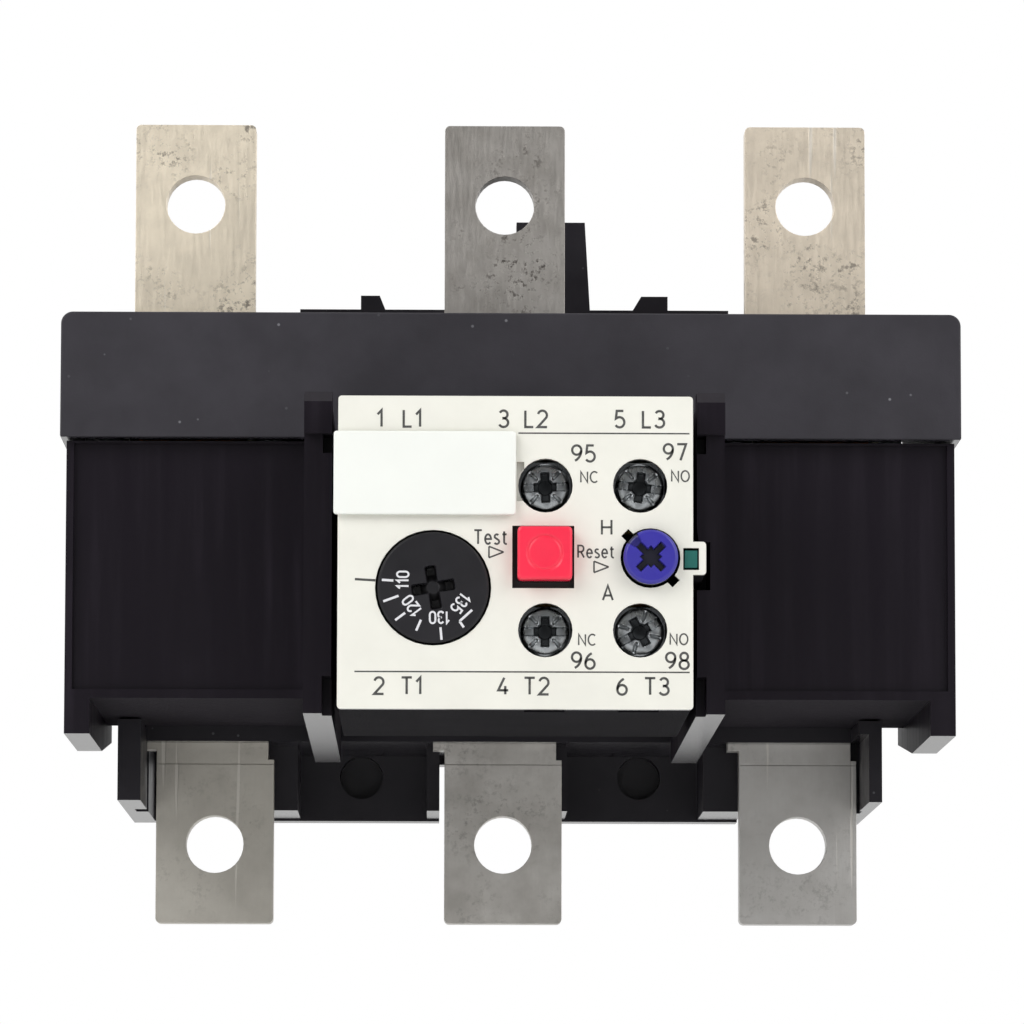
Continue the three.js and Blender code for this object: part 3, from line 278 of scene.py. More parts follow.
def glossy_casing(name, colour, rough):
    """Shiny dark plastic with faint lighter upright streaks in its colour and roughness."""
    shader = Shader(name, Specular_IOR_Level=0.2)
    streaks = shader.noise(2.4, 3.0, 0.6, shader.stretched(1.0, 1.0, 0.05))
    cloud = shader.noise(16.0, 3.0, 0.6)
    amount = shader.math("MULTIPLY", shader.ranged(streaks, 0.5, 0.8), shader.ranged(cloud, 0.35, 0.7))
    light = tuple(part * 1.9 + 0.003 for part in colour[:3]) + (1.0,)
    shader.set("Base Color", shader.mix(amount, colour, light))
    streaked_rough = shader.ranged(streaks, 0.3, 0.7, rough, rough + 0.1)
    shader.moulded_skin(streaked_rough, shader.noise(0.5, 2.0), 0.005, CRADLE_FOOT_TOP)
    return shader.material


def plated_bar(name, upper, lower, pits, cloudy, metallic):
    """A tinned busbar: speckled and brighter above the casing, dull and scratched below it."""
    shader = Shader(name, metallic=metallic)
    where = shader.ranged(shader.height("Z"), mm(-12.0), mm(12.0))
    base = shader.mix(where, lower, upper)
    cloud = shader.ranged(shader.noise(7.0, 4.0, 0.65), 0.3, 0.7)
    base = shader.mix(shader.math("MULTIPLY", cloud, cloudy), base, linear(118, 112, 104))
    blotch = shader.noise(0.9, 3.0, 0.7)
    spots = shader.ranged(blotch, 0.52, 0.66)
    spread = shader.ranged(shader.noise(11.0, 2.0), 0.42, 0.62)
    speckle = shader.math("MULTIPLY", shader.math("MULTIPLY", spots, spread), pits)
    fewer_low_down = shader.ranged(shader.height("Z"), mm(-30), mm(10), 0.35, 1.0)
    speckle = shader.math("MULTIPLY", speckle, fewer_low_down)
    base = shader.mix(speckle, base, linear(88, 84, 80))
    grain = shader.noise(0.5, 3.0, 0.6, shader.stretched(1.0, 1.0, 0.12))
    scratch = shader.node("ShaderNodeMapping", [
        ("Vector", shader.place),
        ("Rotation", (0.0, math.radians(38), 0.0)),
        ("Scale", (1.0, 1.0, 0.03)),
    ])
    lines = shader.ranged(shader.noise(1.1, 1.0, 0.4, scratch.outputs["Vector"]), 0.71, 0.76)
    base = shader.mix(shader.math("MULTIPLY", lines, 0.5), base, linear(226, 222, 214))
    shader.set("Base Color", base)
    rough = shader.ranged(shader.math("ADD", grain, speckle), 0.3, 1.2, 0.36, 0.62)
    shader.set("Roughness", rough)
    shader.bump(shader.math("SUBTRACT", grain, shader.math("ADD", speckle, lines)), 0.03, 0.6)
    return shader.material


def metal(name, colour, rough, brushed=(1.0, 1.0, 0.15), vary=0.25, painted_depth_shade=None):
    """Bare or plated metal with a fine drawn grain."""
    shader = Shader(name, metallic=1.0)
    grain = shader.noise(0.35, 3.0, 0.6, shader.stretched(*brushed))
    cloud = shader.noise(2.5, 3.0, 0.6)
    dark = tuple(part * (1 - vary) for part in colour[:3]) + (1.0,)
    tone = shader.mix(shader.ranged(cloud, 0.3, 0.7), dark, colour)
    # Painted shade: the colour darkens deeper into recesses, such as the screws' slots.
    if painted_depth_shade:
        tone = shader.painted_depth_shade(tone, *painted_depth_shade)
    shader.set("Base Color", tone)
    shader.set("Roughness", shader.ranged(grain, 0.2, 0.8, rough * 0.75, rough * 1.25))
    shader.bump(grain, 0.012, 0.6)
    return shader.material


def stacked(name, colour, sheet_mm):
    """Stacked laminations or layered wire: fine parallel lines across Z."""
    shader = Shader(name, metallic=0.85)
    lines = shader.node("ShaderNodeTexWave", [
        ("Vector", shader.place),
        ("Scale", 1000.0 / sheet_mm / math.tau),
        ("Distortion", 0.4),
        ("Detail", 2.0),
    ], bands_direction="Z").outputs["Fac"]
    dark = tuple(part * 0.45 for part in colour[:3]) + (1.0,)
    shader.set("Base Color", shader.mix(lines, dark, colour))
    shader.set("Roughness", shader.ranged(lines, 0.0, 1.0, 0.55, 0.35))
    shader.bump(lines, 0.05, 0.8)
    return shader.material


def ink(name, colour):
    """Printed ink, a little uneven in density."""
    shader = Shader(name)
    worn = shader.ranged(shader.noise(0.6, 3.0, 0.6), 0.4, 0.75)
    pale = tuple(part * 0.6 + 0.18 for part in colour[:3]) + (1.0,)
    shader.set("Base Color", shader.mix(shader.math("MULTIPLY", worn, 0.35), colour, pale))
    shader.set("Roughness", shader.ranged(worn, 0.0, 1.0, 0.45, 0.65))
    return shader.material


plate_low, plate_high = box_of("front_plate")
PLATE_FACE = plate_low.y


def recess_shade(face, start, end, colour):
    """Painted shade in a recess: where it starts and stops getting darker, behind face, and the colour it
    reaches.
    """
    return face + start, face + end, linear(*colour)


# Painted shade: the plate's wells, the test button's sides, the reset knob's and dial's recesses and the
# terminal screws' slots darken with depth.
WELL_SHADE = recess_shade(PLATE_FACE, 0.35, 1.0, (26, 24, 28))
RED_SHADE = recess_shade(PLATE_FACE, -0.3, 0.6, (22, 10, 12))
BLUE_SHADE = recess_shade(box_of("reset_knob")[0].y, 0.45, 0.95, (12, 11, 34))
SCREW_SHADE = recess_shade(box_of("terminal_screw_95")[0].y, 0.45, 1.0, (52, 54, 56))
DIAL_SHADE = recess_shade(box_of("current_dial")[0].y, 0.15, 0.7, (7, 6, 8))

FINISHES = {
    "base_plastic": moulded("base_plastic_look", linear(25, 22, 29), 0.4, gloss=0.3, specks=0.25),
    "housing_plastic": glossy_casing("housing_plastic_look", linear(22, 17, 25), 0.3),
    "cover_plastic": moulded(
        "cover_plastic_look", linear(47, 45, 51), 0.55, 0.3, 0.03, gloss=0.3, specks=0.5,
    ),
    "case_plastic": moulded(
        "case_plastic_look", linear(14, 12, 17), 0.8, gloss=0.1, smooth_below=NEVER,
    ),
    "plate_plastic": moulded(
        "plate_plastic_look", linear(226, 225, 216), 0.5, 0.5, 0.012, 0.025, painted_depth_shade=WELL_SHADE,
    ),
    "label_plastic": moulded("label_plastic_look", linear(232, 234, 229), 0.34, 0.8, 0.008, 0.012),
    "dial_plastic": moulded(
        "dial_plastic_look", linear(27, 26, 30), 0.5, 0.3, 0.02, gloss=0.25, painted_depth_shade=DIAL_SHADE,
    ),
    "red_plastic": moulded(
        "red_plastic_look", linear(238, 38, 70), 0.36, 0.5, 0.012, 0.05, painted_depth_shade=RED_SHADE,
    ),
    "blue_plastic": moulded(
        "blue_plastic_look", linear(50, 44, 150), 0.34, 0.5, 0.012, 0.08, painted_depth_shade=BLUE_SHADE,
    ),
    "green_plastic": moulded("green_plastic_look", linear(16, 98, 90), 0.4, 0.4, 0.012, 0.08),
    "inner_plastic": moulded("inner_plastic_look", linear(206, 200, 182), 0.55, 0.4, 0.015, 0.05),
    "lead_sleeve": moulded("lead_sleeve_look", linear(186, 176, 152), 0.7, 0.25, 0.03, 0.08),
    "screw_steel": metal("screw_steel_look", linear(178, 182, 186), 0.3),
    "terminal_steel": metal("terminal_steel_look", linear(172, 176, 179), 0.3, painted_depth_shade=SCREW_SHADE),
    "contact_brass": metal("contact_brass_look", linear(205, 172, 104), 0.34),
    "spring_steel": metal("spring_steel_look", linear(186, 188, 192), 0.28, (1.0, 1.0, 1.0)),
    "core_steel": stacked("core_steel_look", linear(150, 152, 156), 0.35),
    "winding_wire": stacked("winding_wire_look", linear(196, 118, 72), 0.5),
}
BAR_LOOKS = {
    "left": plated_bar(
        "busbar_left_look", linear(252, 240, 218), linear(196, 192, 183), 0.8, 0.25, 0.75,
    ),
    "middle": plated_bar(
        "busbar_middle_look", linear(190, 186, 181), linear(208, 205, 200), 1.0, 0.42, 1.0,
    ),
    "right": plated_bar(
        "busbar_right_look", linear(244, 231, 211), linear(196, 194, 191), 0.7, 0.25, 0.75,
    ),
}
DARK_INK = ink("dark_ink", linear(62, 62, 60))
PALE_INK = ink("pale_ink", linear(214, 214, 218))


# ---- CAD nodes that stay: rounded edges and a finish ----
STEEL = ("terminal_screw", "clamp_washer", "assembly_screw")
BRASS = ("terminal_plate", "nc_contact_bridge", "no_contact_bridge")
SPRING = ("test_spring", "reset_spring", "snap_spring", "compensation_bimetal", "bimetal_strip")
FINISH_OF = {
    "rear_base": "base_plastic",
    "transformer_housing": "housing_plastic",
    "top_cover": "cover_plastic",
    "module_case": "case_plastic",
    "front_plate": "plate_plastic",
    "blank_label": "label_plastic",
    "current_dial": "dial_plastic",
    "test_button": "red_plastic",
    "reset_knob": "blue_plastic",
    "trip_indicator": "green_plastic",
    "differential_slide": "base_plastic",
}
FINISH_STARTS = {
    **{start: "screw_steel" for start in STEEL},
    **{start: "contact_brass" for start in BRASS},
    **{start: "spring_steel" for start in SPRING},
    "transformer_core": "core_steel",
    "winding": "winding_wire",
    "heater": "winding_wire",
    "secondary_lead": "lead_sleeve",
}
EDGE_MM = {
    "top_cover": 0.45,
    "busbar": 0.45,
    "blank_label": 0.22,
    "trip_indicator": 0.15,
}
PLAIN_EDGE_MM = 0.15
EDGE_SEGMENTS = 3
EDGE_ANGLE = math.radians(32)
FLAT_ANGLE = math.radians(0.5)
CAD_JOIN_DISTANCE = 1e-6
# A bevel leaves shards on these nodes' faces, and the springs are already round.
UNBEVELLED = (
    "front_plate",
    "transformer_housing",
    "rear_base",
    "test_spring",
    "reset_spring",
    "snap_spring",
)


def look_of(name):
    if name.startswith("busbar_"):
        return BAR_LOOKS[name.split("_")[1]]
    if name in FINISH_OF:
        return FINISHES[FINISH_OF[name]]
    for start, finish in FINISH_STARTS.items():
        if name.startswith(start):
            return FINISHES[finish]
    return FINISHES["inner_plastic"]


def edge_of(name):
    for start, width in EDGE_MM.items():
        if name.startswith(start):
            return width
    return PLAIN_EDGE_MM


def dress(name, obj):
    """Gives a CAD node its finish, and rounded edges by modifiers, so that its mesh stays as it is."""
    for slot in obj.material_slots:
        slot.link = "OBJECT"
        slot.material = look_of(name)
    weld = obj.modifiers.new("join_corners", "WELD")
    weld.merge_threshold = CAD_JOIN_DISTANCE
    if name not in UNBEVELLED:
        flats = obj.modifiers.new("whole_faces", "DECIMATE")
        flats.decimate_type = "DISSOLVE"
        flats.angle_limit = FLAT_ANGLE
        bevel = obj.modifiers.new("rounded_edges", "BEVEL")
        bevel.width = mm(edge_of(name))
        bevel.segments = EDGE_SEGMENTS
        bevel.limit_method = "ANGLE"
        bevel.angle_limit = EDGE_ANGLE
        bevel.miter_outer = "MITER_ARC"
    obj.modifiers.new("even_shading", "WEIGHTED_NORMAL").keep_sharp = True


for node_name, node_object in nodes.items():
    dress(node_name, node_object)


# ---- new pieces ----
JOIN_DISTANCE = 1e-7


def as_object(name, mesh_bm, material, body, smooth_deg=35.0):
    """An object that rides on body, made of the mesh, with edges sharp beyond smooth_deg."""
    bmesh.ops.remove_doubles(mesh_bm, verts=mesh_bm.verts, dist=JOIN_DISTANCE)
    bmesh.ops.recalc_face_normals(mesh_bm, faces=mesh_bm.faces)
    mesh = bpy.data.meshes.new(name)
    mesh_bm.to_mesh(mesh)
    mesh_bm.free()
    mesh.materials.append(material)
    mesh.shade_smooth()
    mesh.set_sharp_from_angle(angle=math.radians(smooth_deg))
    obj = bpy.data.objects.new(name, mesh)
    bpy.context.collection.objects.link(obj)
    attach(obj, body)
    return obj


def skin(mesh_bm, loops):
    """Quads between loops of equal length."""
    for lower, upper in zip(loops, loops[1:]):
        count = len(lower)
        for index in range(count):
            after = (index + 1) % count
            mesh_bm.faces.new((lower[index], lower[after], upper[after], upper[index]))


def relief_disc(centre, radius, front, sink, back, rings=44, segments=144):
    """A round piece seen along Y: a front face carved by sink(x, z), then rims given as (radius, y)."""
    mesh_bm = bmesh.new()
    loops = []
    for ring in range(1, rings + 1):
        reach = radius * ring / rings
        loop = []
        for step in range(segments):
            angle = math.tau * step / segments
            x, z = reach * math.cos(angle), reach * math.sin(angle)
            loop.append(mesh_bm.verts.new(mm(centre[0] + x, front + sink(x, z), centre[1] + z)))
        loops.append(loop)
    for rim, y in back:
        loops.append([
            mesh_bm.verts.new(mm(
                centre[0] + rim * math.cos(math.tau * step / segments),
                y,
                centre[1] + rim * math.sin(math.tau * step / segments),
            ))
            for step in range(segments)
        ])
    skin(mesh_bm, loops)
    middle = mesh_bm.verts.new(mm(centre[0], front + sink(0.0, 0.0), centre[1]))
    for index in range(segments):
        mesh_bm.faces.new((middle, loops[0][index], loops[0][(index + 1) % segments]))
    mesh_bm.faces.new(loops[-1])
    return mesh_bm


def soft_step(value, edge, blur):
    """1 inside edge, 0 outside, with a sloped border blur wide."""
    return min(1.0, max(0.0, (edge - value) / blur + 0.5))


def along_and_across(x, z, angle):
    """The point (x, z) measured along and across a direction at that angle."""
    along = x * math.cos(angle) + z * math.sin(angle)
    across = -x * math.sin(angle) + z * math.cos(angle)
    return along, across


def cross(u, v, half_width, reach, side_blur, tip_blur):
    """1 on the arms of a cross along u and v, and 0 outside them."""
    return max(
        soft_step(abs(u), half_width, side_blur) * soft_step(abs(v), reach, tip_blur),
        soft_step(abs(v), half_width, side_blur) * soft_step(abs(u), reach, tip_blur),
    )


def rim_fall(reach, radius, width, drop):
    """How far a face falls away within width of its rim."""
    return drop * max(0.0, (reach - radius + width) / width) ** 2


def round_front(name):
    """A round node's middle in X and Z, its radius, and the Y of its front and its back."""
    low, high = box_of(name)
    middle = ((low.x + high.x) / 2, (low.z + high.z) / 2)
    return middle, (high.x - low.x) / 2, low.y, high.y


def terminal_screw(number, turn, wear):
    """A cheese-head screw with a slot, a short cross and pressed radial grooves."""
    middle, radius, front, tip = round_front(f"terminal_screw_{number}")
    half_width, border = 0.5, 0.12
    slot_depth, arm_depth = 0.5, 1.05
    long_reach, short_reach, tip_border = 1.85, 1.45, 0.2
    heart_radius, heart_depth = 1.0, 1.15
    groove_count, groove_depth = 4, 0.24
    groove_half, groove_border = 0.16, 0.24
    groove_middle, groove_reach, groove_tip = 2.1, 0.7, 0.3
    crown_drop, dent_depth = 0.28, 0.06

    def sink(dx, dz):
        u, v = along_and_across(dx, dz, turn)
        reach = math.hypot(u, v)
        slot = slot_depth * soft_step(abs(v), half_width, border)
        long_arm = arm_depth * soft_step(abs(u), half_width, border)
        long_arm *= soft_step(abs(v), long_reach, tip_border)
        short_arm = arm_depth * soft_step(abs(v), half_width, border)
        short_arm *= soft_step(abs(u), short_reach, tip_border)
        heart = heart_depth * soft_step(reach, heart_radius, tip_border)
        grooves = 0.0
        for index in range(groove_count):
            along, across = along_and_across(u, v, math.tau * (index + 0.5) / groove_count)
            if along > 0:
                groove = groove_depth * soft_step(abs(across), groove_half, groove_border)
                grooves += groove * soft_step(abs(along - groove_middle), groove_reach, groove_tip)
        crown = crown_drop * (reach / radius) ** 4
        rim = rim_fall(reach, radius, width=0.35, drop=0.3)
        dents = wear * dent_depth * math.sin(2.6 * u + 1.3) * math.sin(2.2 * v - 0.7)
        return max(slot, long_arm, short_arm, heart, grooves) + crown + rim + dents

    shank = 1.7
    head_end = front + 2.15
    head_chamfer = 0.15
    tip_chamfer = 0.4
    back = [
        (radius, head_end - head_chamfer),
        (radius - head_chamfer, head_end),
        (shank, head_end),
        (shank, tip - tip_chamfer),
        (shank - tip_chamfer, tip),
    ]
    mesh_bm = relief_disc(middle, radius, front, sink, back)
    body = f"terminal_screw_{number}"
    piece = as_object(f"screw_{number}_detail", mesh_bm, FINISHES["terminal_steel"], body, 28.0)
    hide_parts(f"terminal_screw_{number}")


for screw_number, screw_turn, screw_wear in (
    ("95", 0.04, 0.6),
    ("96", 0.0, 0.4),
    ("97", -0.12, 0.8),
    ("98", 0.5, 1.0),
):
    terminal_screw(screw_number, screw_turn, screw_wear)


def reset_knob():
    """Blue knob: crossed recess turned to an X, and a small pointer nose up and to the left."""
    middle, radius, front, back_face = round_front("reset_knob")
    arm_half, arm_reach, arm_depth, side_border, tip_border = 0.42, 2.2, 1.1, 0.12, 0.16
    heart_reach = 1.35
    nose_angle = math.radians(135)
    nose_start, nose_half, nose_spread, nose_depth, nose_border = 1.6, 0.28, 0.34, 0.7, 0.1
    chamfer = 0.3

    def sink(dx, dz):
        u, v = along_and_across(dx, dz, math.pi / 4)
        arms = max(
            cross(u, v, arm_half, arm_reach, side_border, tip_border),
            soft_step(abs(dx) + abs(dz), heart_reach, tip_border),
        )
        along, across = along_and_across(dx, dz, nose_angle)
        nose = 0.0
        if along > nose_start:
            half = nose_half + nose_spread * (along - nose_start)
            nose = nose_depth * soft_step(abs(across), half, nose_border)
        rim = rim_fall(math.hypot(u, v), radius, width=0.45, drop=0.35)
        return max(arm_depth * arms, nose) + rim

    back = [(radius, back_face - chamfer), (radius - chamfer, back_face)]
    mesh_bm = relief_disc(middle, radius, front, sink, back, rings=52, segments=160)
    piece = as_object("reset_knob_detail", mesh_bm, FINISHES["blue_plastic"], "reset_knob", 40.0)
    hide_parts("reset_knob")


reset_knob()


# How far behind the plate's face the dial's and the test button's flanges lie, and their thickness.
DIAL_FLANGE_DEPTH = 1.8
TEST_FLANGE_DEPTH = 2.0
FLANGE_THICKNESS = 1.2


def current_dial():
    """Black dial with a worn cross recess for a screwdriver. Returns its middle and the Y of its face."""
    middle, flange_radius, front, cam_end = round_front("current_dial")
    radius = flange_radius - 1.1
    turn = math.radians(9)
    arm_half, arm_reach, side_border, tip_border = 0.62, 2.65, 0.2, 0.3
    tip_depth, heart_depth, heart_radius, heart_border = 0.35, 0.85, 1.2, 0.9

    def sink(dx, dz):
        u, v = along_and_across(dx, dz, turn)
        reach = math.hypot(u, v)
        depth = tip_depth + heart_depth * soft_step(-reach, -heart_radius, heart_border)
        arms = cross(u, v, arm_half, arm_reach, side_border, tip_border)
        return arms * depth + rim_fall(reach, radius, width=0.3, drop=0.25)

    flange = PLATE_FACE + DIAL_FLANGE_DEPTH
    neck_radius = 3.0
    cam_radius = 4.0
    cam_start = PLATE_FACE + 11.6
    cam_end_gap = 0.2
    cam_chamfer = (0.5, 0.3)
    back = [
        (radius, flange),
        (flange_radius, flange),
        (flange_radius, flange + FLANGE_THICKNESS),
        (neck_radius, flange + FLANGE_THICKNESS),
        (neck_radius, cam_start),
        (cam_radius, cam_start),
        (cam_radius, cam_end - cam_end_gap - cam_chamfer[1]),
        (cam_radius - cam_chamfer[0], cam_end - cam_end_gap),
    ]
    mesh_bm = relief_disc(middle, radius, front, sink, back, rings=70, segments=168)
    piece = as_object("current_dial_detail", mesh_bm, FINISHES["dial_plastic"], "current_dial", 35.0)
    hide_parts("current_dial")
    return *middle, front


DIAL_X, DIAL_Z, DIAL_FACE = current_dial()


def rounded_loop(mesh_bm, middle, half, corner, y, steps=6, side_steps=14):
    """A rounded rectangle of vertices in an X-Z plane, with points along its sides too."""
    corners = []
    for quarter, (sx, sz) in enumerate(((1, 1), (-1, 1), (-1, -1), (1, -1))):
        cx = middle[0] + sx * (half[0] - corner)
        cz = middle[1] + sz * (half[1] - corner)
        angles = [math.pi / 2 * (quarter + step / steps) for step in range(steps + 1)]
        corners.append([
            Vector((cx + corner * math.cos(angle), cz + corner * math.sin(angle))) for angle in angles
        ])
    points = []
    for bend, following in zip(corners, corners[1:] + corners[:1]):
        points += bend
        for step in range(1, side_steps):
            points.append(bend[-1].lerp(following[0], step / side_steps))
    return [mesh_bm.verts.new(mm(point.x, y, point.y)) for point in points]


BUTTON_MIDDLE = (3.7, -12.85)
BUTTON_HALF = (3.45, 3.375)
BUTTON_CORNER = 0.55
BUTTON_SOFT_EDGE = 0.35
BUTTON_EDGE_STEPS = 6
STEM_MIDDLE = (3.7, -13.25)
STEM_HALF = (1.5, 1.5)
# The ring pressed into the button's face: its radius, half width, depth and the shape of its walls.
RING_RADIUS = 2.15
RING_HALF = 0.22
RING_DEPTH = 0.16
RING_WALL = 0.6
DISH_DEPTH = 0.05
DISH_BORDER = 0.3
# The face's rings of points: how many, and how far out they are plain circles.
FACE_RINGS = 46
CIRCLE_SHARE = 0.72
CIRCLE_SCALE = 0.9


def button_face(mesh_bm, rim, front):
    """Closes the button with rings of points from its rim to the middle, with the pressed ring in them."""
    outline = [Vector((v.co.x * 1000 - BUTTON_MIDDLE[0], v.co.z * 1000 - BUTTON_MIDDLE[1])) for v in rim]
    rings = []
    for ring in range(1, FACE_RINGS):
        share = 1 - ring / FACE_RINGS
        square = min(1.0, max(0.0, (share - CIRCLE_SHARE) / (1 - CIRCLE_SHARE)))
        loop = []
        for point in outline:
            circle = point.normalized() * BUTTON_HALF[0] * CIRCLE_SCALE
            spot = (point * square + circle * (1 - square)) * share
            reach = spot.length
            sink = RING_DEPTH * max(0.0, 1 - abs(reach - RING_RADIUS) / RING_HALF) ** RING_WALL
            dish = DISH_DEPTH * soft_step(reach, RING_RADIUS, DISH_BORDER)
            place = (BUTTON_MIDDLE[0] + spot.x, front + sink + dish, BUTTON_MIDDLE[1] + spot.y)
            loop.append(mesh_bm.verts.new(mm(*place)))
        rings.append(loop)
    skin(mesh_bm, [rim, *rings])
    hub = mesh_bm.verts.new(mm(BUTTON_MIDDLE[0], front + DISH_DEPTH, BUTTON_MIDDLE[1]))
    for index in range(len(rim)):
        mesh_bm.faces.new((hub, rings[-1][index], rings[-1][(index + 1) % len(rim)]))


def test_button():
    """Red push button: soft edges and a shallow ring pressed into its face."""
    low, high = box_of("test_button")
    front = low.y
    mesh_bm = bmesh.new()
    loops = []
    for step in range(BUTTON_EDGE_STEPS + 1):
        angle = math.pi / 2 * step / BUTTON_EDGE_STEPS
        inset = BUTTON_SOFT_EDGE * (1 - math.sin(angle))
        half = (BUTTON_HALF[0] - inset, BUTTON_HALF[1] - inset)
        y = front + BUTTON_SOFT_EDGE * (1 - math.cos(angle))
        loops.append(rounded_loop(mesh_bm, BUTTON_MIDDLE, half, BUTTON_CORNER, y))
    flange_y = PLATE_FACE + TEST_FLANGE_DEPTH
    flange_back = flange_y + FLANGE_THICKNESS
    flange_middle = ((low.x + high.x) / 2, (low.z + high.z) / 2)
    flange_half = ((high.x - low.x) / 2, (high.z - low.z) / 2)
    for centre, half, y in (
        (BUTTON_MIDDLE, BUTTON_HALF, flange_y),
        (flange_middle, flange_half, flange_y),
        (flange_middle, flange_half, flange_back),
        (STEM_MIDDLE, STEM_HALF, flange_back),
        (STEM_MIDDLE, STEM_HALF, high.y),
    ):
        loops.append(rounded_loop(mesh_bm, centre, half, min(BUTTON_CORNER, half[0] / 3), y))
    skin(mesh_bm, loops)
    mesh_bm.faces.new(loops[-1])
    button_face(mesh_bm, loops[0], front)
    piece = as_object("test_button_detail", mesh_bm, FINISHES["red_plastic"], "test_button", 40.0)
    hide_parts("test_button")


test_button()


# ---- printed marks: terminal numbers, functions, rules and the dial's scale ----
INK_LIFT = 0.02
INK_SINK = 0.01


def prism(mesh_bm, outline, face):
    """A thin printed shape from an outline of (x, z) points, lying on the face at y = face."""
    top = [mesh_bm.verts.new(mm(x, face - INK_LIFT, z)) for x, z in outline]
    bottom = [mesh_bm.verts.new(mm(x, face + INK_SINK, z)) for x, z in outline]
    skin(mesh_bm, [top, bottom])
    mesh_bm.faces.new(top)
    mesh_bm.faces.new(bottom[::-1])


def line(mesh_bm, start, end, width, face):
    """A straight printed stroke between two (x, z) points."""
    start, end = Vector(start), Vector(end)
    side = (end - start).normalized().orthogonal() * width / 2
    prism(mesh_bm, [start + side, start - side, end - side, end + side], face)


def ribbon(mesh_bm, points, width, face, closed=False):
    """A printed stroke of even width along points, given as (x, z) vectors."""
    rows = []
    count = len(points)
    for index, point in enumerate(points):
        before = points[index - 1] if index or closed else None
        after = points[(index + 1) % count] if index < count - 1 or closed else None
        into = (point - before).normalized() if before is not None else None
        out = (after - point).normalized() if after is not None else into
        into = into or out
        across = (into + out).normalized().orthogonal()
        reach = width / 2 / max(0.4, across.dot(into.orthogonal()))
        sides = (point + across * reach, point - across * reach)
        heights = (face - INK_LIFT, face + INK_SINK)
        rows.append([mesh_bm.verts.new(mm(side.x, y, side.y)) for side, y in (
            (sides[0], heights[0]), (sides[1], heights[0]), (sides[1], heights[1]), (sides[0], heights[1]),
        )])
    pairs = list(zip(rows, rows[1:] + rows[:1])) if closed else list(zip(rows, rows[1:]))
    for first, second in pairs:
        for corner in range(4):
            after = (corner + 1) % 4
            mesh_bm.faces.new((first[corner], first[after], second[after], second[corner]))
    if not closed:
        mesh_bm.faces.new(rows[0])
        mesh_bm.faces.new(rows[-1][::-1])


def arc(x, z, radius_x, radius_z, start, end, steps=14):
    """Points on part of an ellipse, from one angle to another in degrees."""
    angles = [math.radians(start + (end - start) * step / steps) for step in range(steps + 1)]
    return [(x + radius_x * math.cos(angle), z + radius_z * math.sin(angle)) for angle in angles]


def turned(strokes, width):
    """Strokes turned half round, as a nine is a six."""
    return [[(width - x, 1 - z) for x, z in stroke] for stroke in strokes]


# Each character: its width, then its strokes as points, in units of the capitals' height.
SIX = [arc(0.28, 0.29, 0.28, 0.29, 0, 360, 22), arc(0.62, 0.31, 0.62, 0.69, 112, 180, 8)]
GLYPHS = {
    "0": (0.56, [
        arc(0.28, 0.72, 0.28, 0.28, 0, 180, 10)
        + arc(0.28, 0.28, 0.28, 0.28, 180, 360, 10)
        + [(0.56, 0.72)],
    ]),
    "1": (0.3, [[(0.0, 0.74), (0.24, 1.0), (0.24, 0.0)]]),
    "2": (0.56, [arc(0.28, 0.72, 0.27, 0.28, 165, -35, 14) + [(0.0, 0.0), (0.56, 0.0)]]),
    "3": (0.54, [
        arc(0.25, 0.76, 0.24, 0.24, 155, -90, 13) + arc(0.25, 0.265, 0.28, 0.265, 90, -155, 14),
    ]),
    "4": (0.6, [[(0.36, 1.0), (0.0, 0.24), (0.6, 0.24)], [(0.42, 0.5), (0.42, 0.0)]]),
    "5": (0.56, [[(0.5, 1.0), (0.1, 1.0), (0.05, 0.53)] + arc(0.27, 0.31, 0.29, 0.31, 112, -145, 15)]),
    "6": (0.56, SIX),
    "7": (0.54, [[(0.0, 1.0), (0.54, 1.0), (0.2, 0.0)]]),
    "8": (0.56, [arc(0.28, 0.76, 0.23, 0.24, 0, 360, 20), arc(0.28, 0.265, 0.28, 0.265, 0, 360, 22)]),
    "9": (0.56, turned(SIX, 0.56)),
    "A": (0.68, [[(0.0, 0.0), (0.34, 1.0), (0.68, 0.0)], [(0.12, 0.32), (0.56, 0.32)]]),
    "C": (0.62, [arc(0.38, 0.5, 0.38, 0.5, 48, 312, 18)]),
    "H": (0.66, [[(0.0, 0.0), (0.0, 1.0)], [(0.66, 0.0), (0.66, 1.0)], [(0.0, 0.5), (0.66, 0.5)]]),
    "L": (0.48, [[(0.0, 1.0), (0.0, 0.0), (0.48, 0.0)]]),
    "N": (0.62, [[(0.0, 0.0), (0.0, 1.0), (0.62, 0.0), (0.62, 1.0)]]),
    "O": (0.74, [arc(0.37, 0.5, 0.37, 0.5, 0, 360, 24)]),
    "R": (0.56, [
        [(0.0, 0.0), (0.0, 1.0)] + arc(0.28, 0.74, 0.24, 0.26, 90, -90, 9) + [(0.0, 0.48)],
        [(0.26, 0.48), (0.56, 0.0)],
    ]),
    "T": (0.62, [[(0.0, 1.0), (0.62, 1.0)], [(0.31, 1.0), (0.31, 0.0)]]),
    "e": (0.48, [[(0.0, 0.36), (0.48, 0.36)] + arc(0.24, 0.35, 0.24, 0.35, 15, 320, 14)]),
    "s": (0.4, [
        arc(0.2, 0.53, 0.17, 0.17, 40, 200, 8) + arc(0.2, 0.17, 0.2, 0.17, 60, -150, 10),
    ]),
    "t": (0.36, [[(0.14, 0.92)] + arc(0.32, 0.16, 0.18, 0.16, 180, 285, 5), [(0.0, 0.7), (0.34, 0.7)]]),
}
LETTER_SPACE = 0.27
CLOSED_GAP = 1e-4


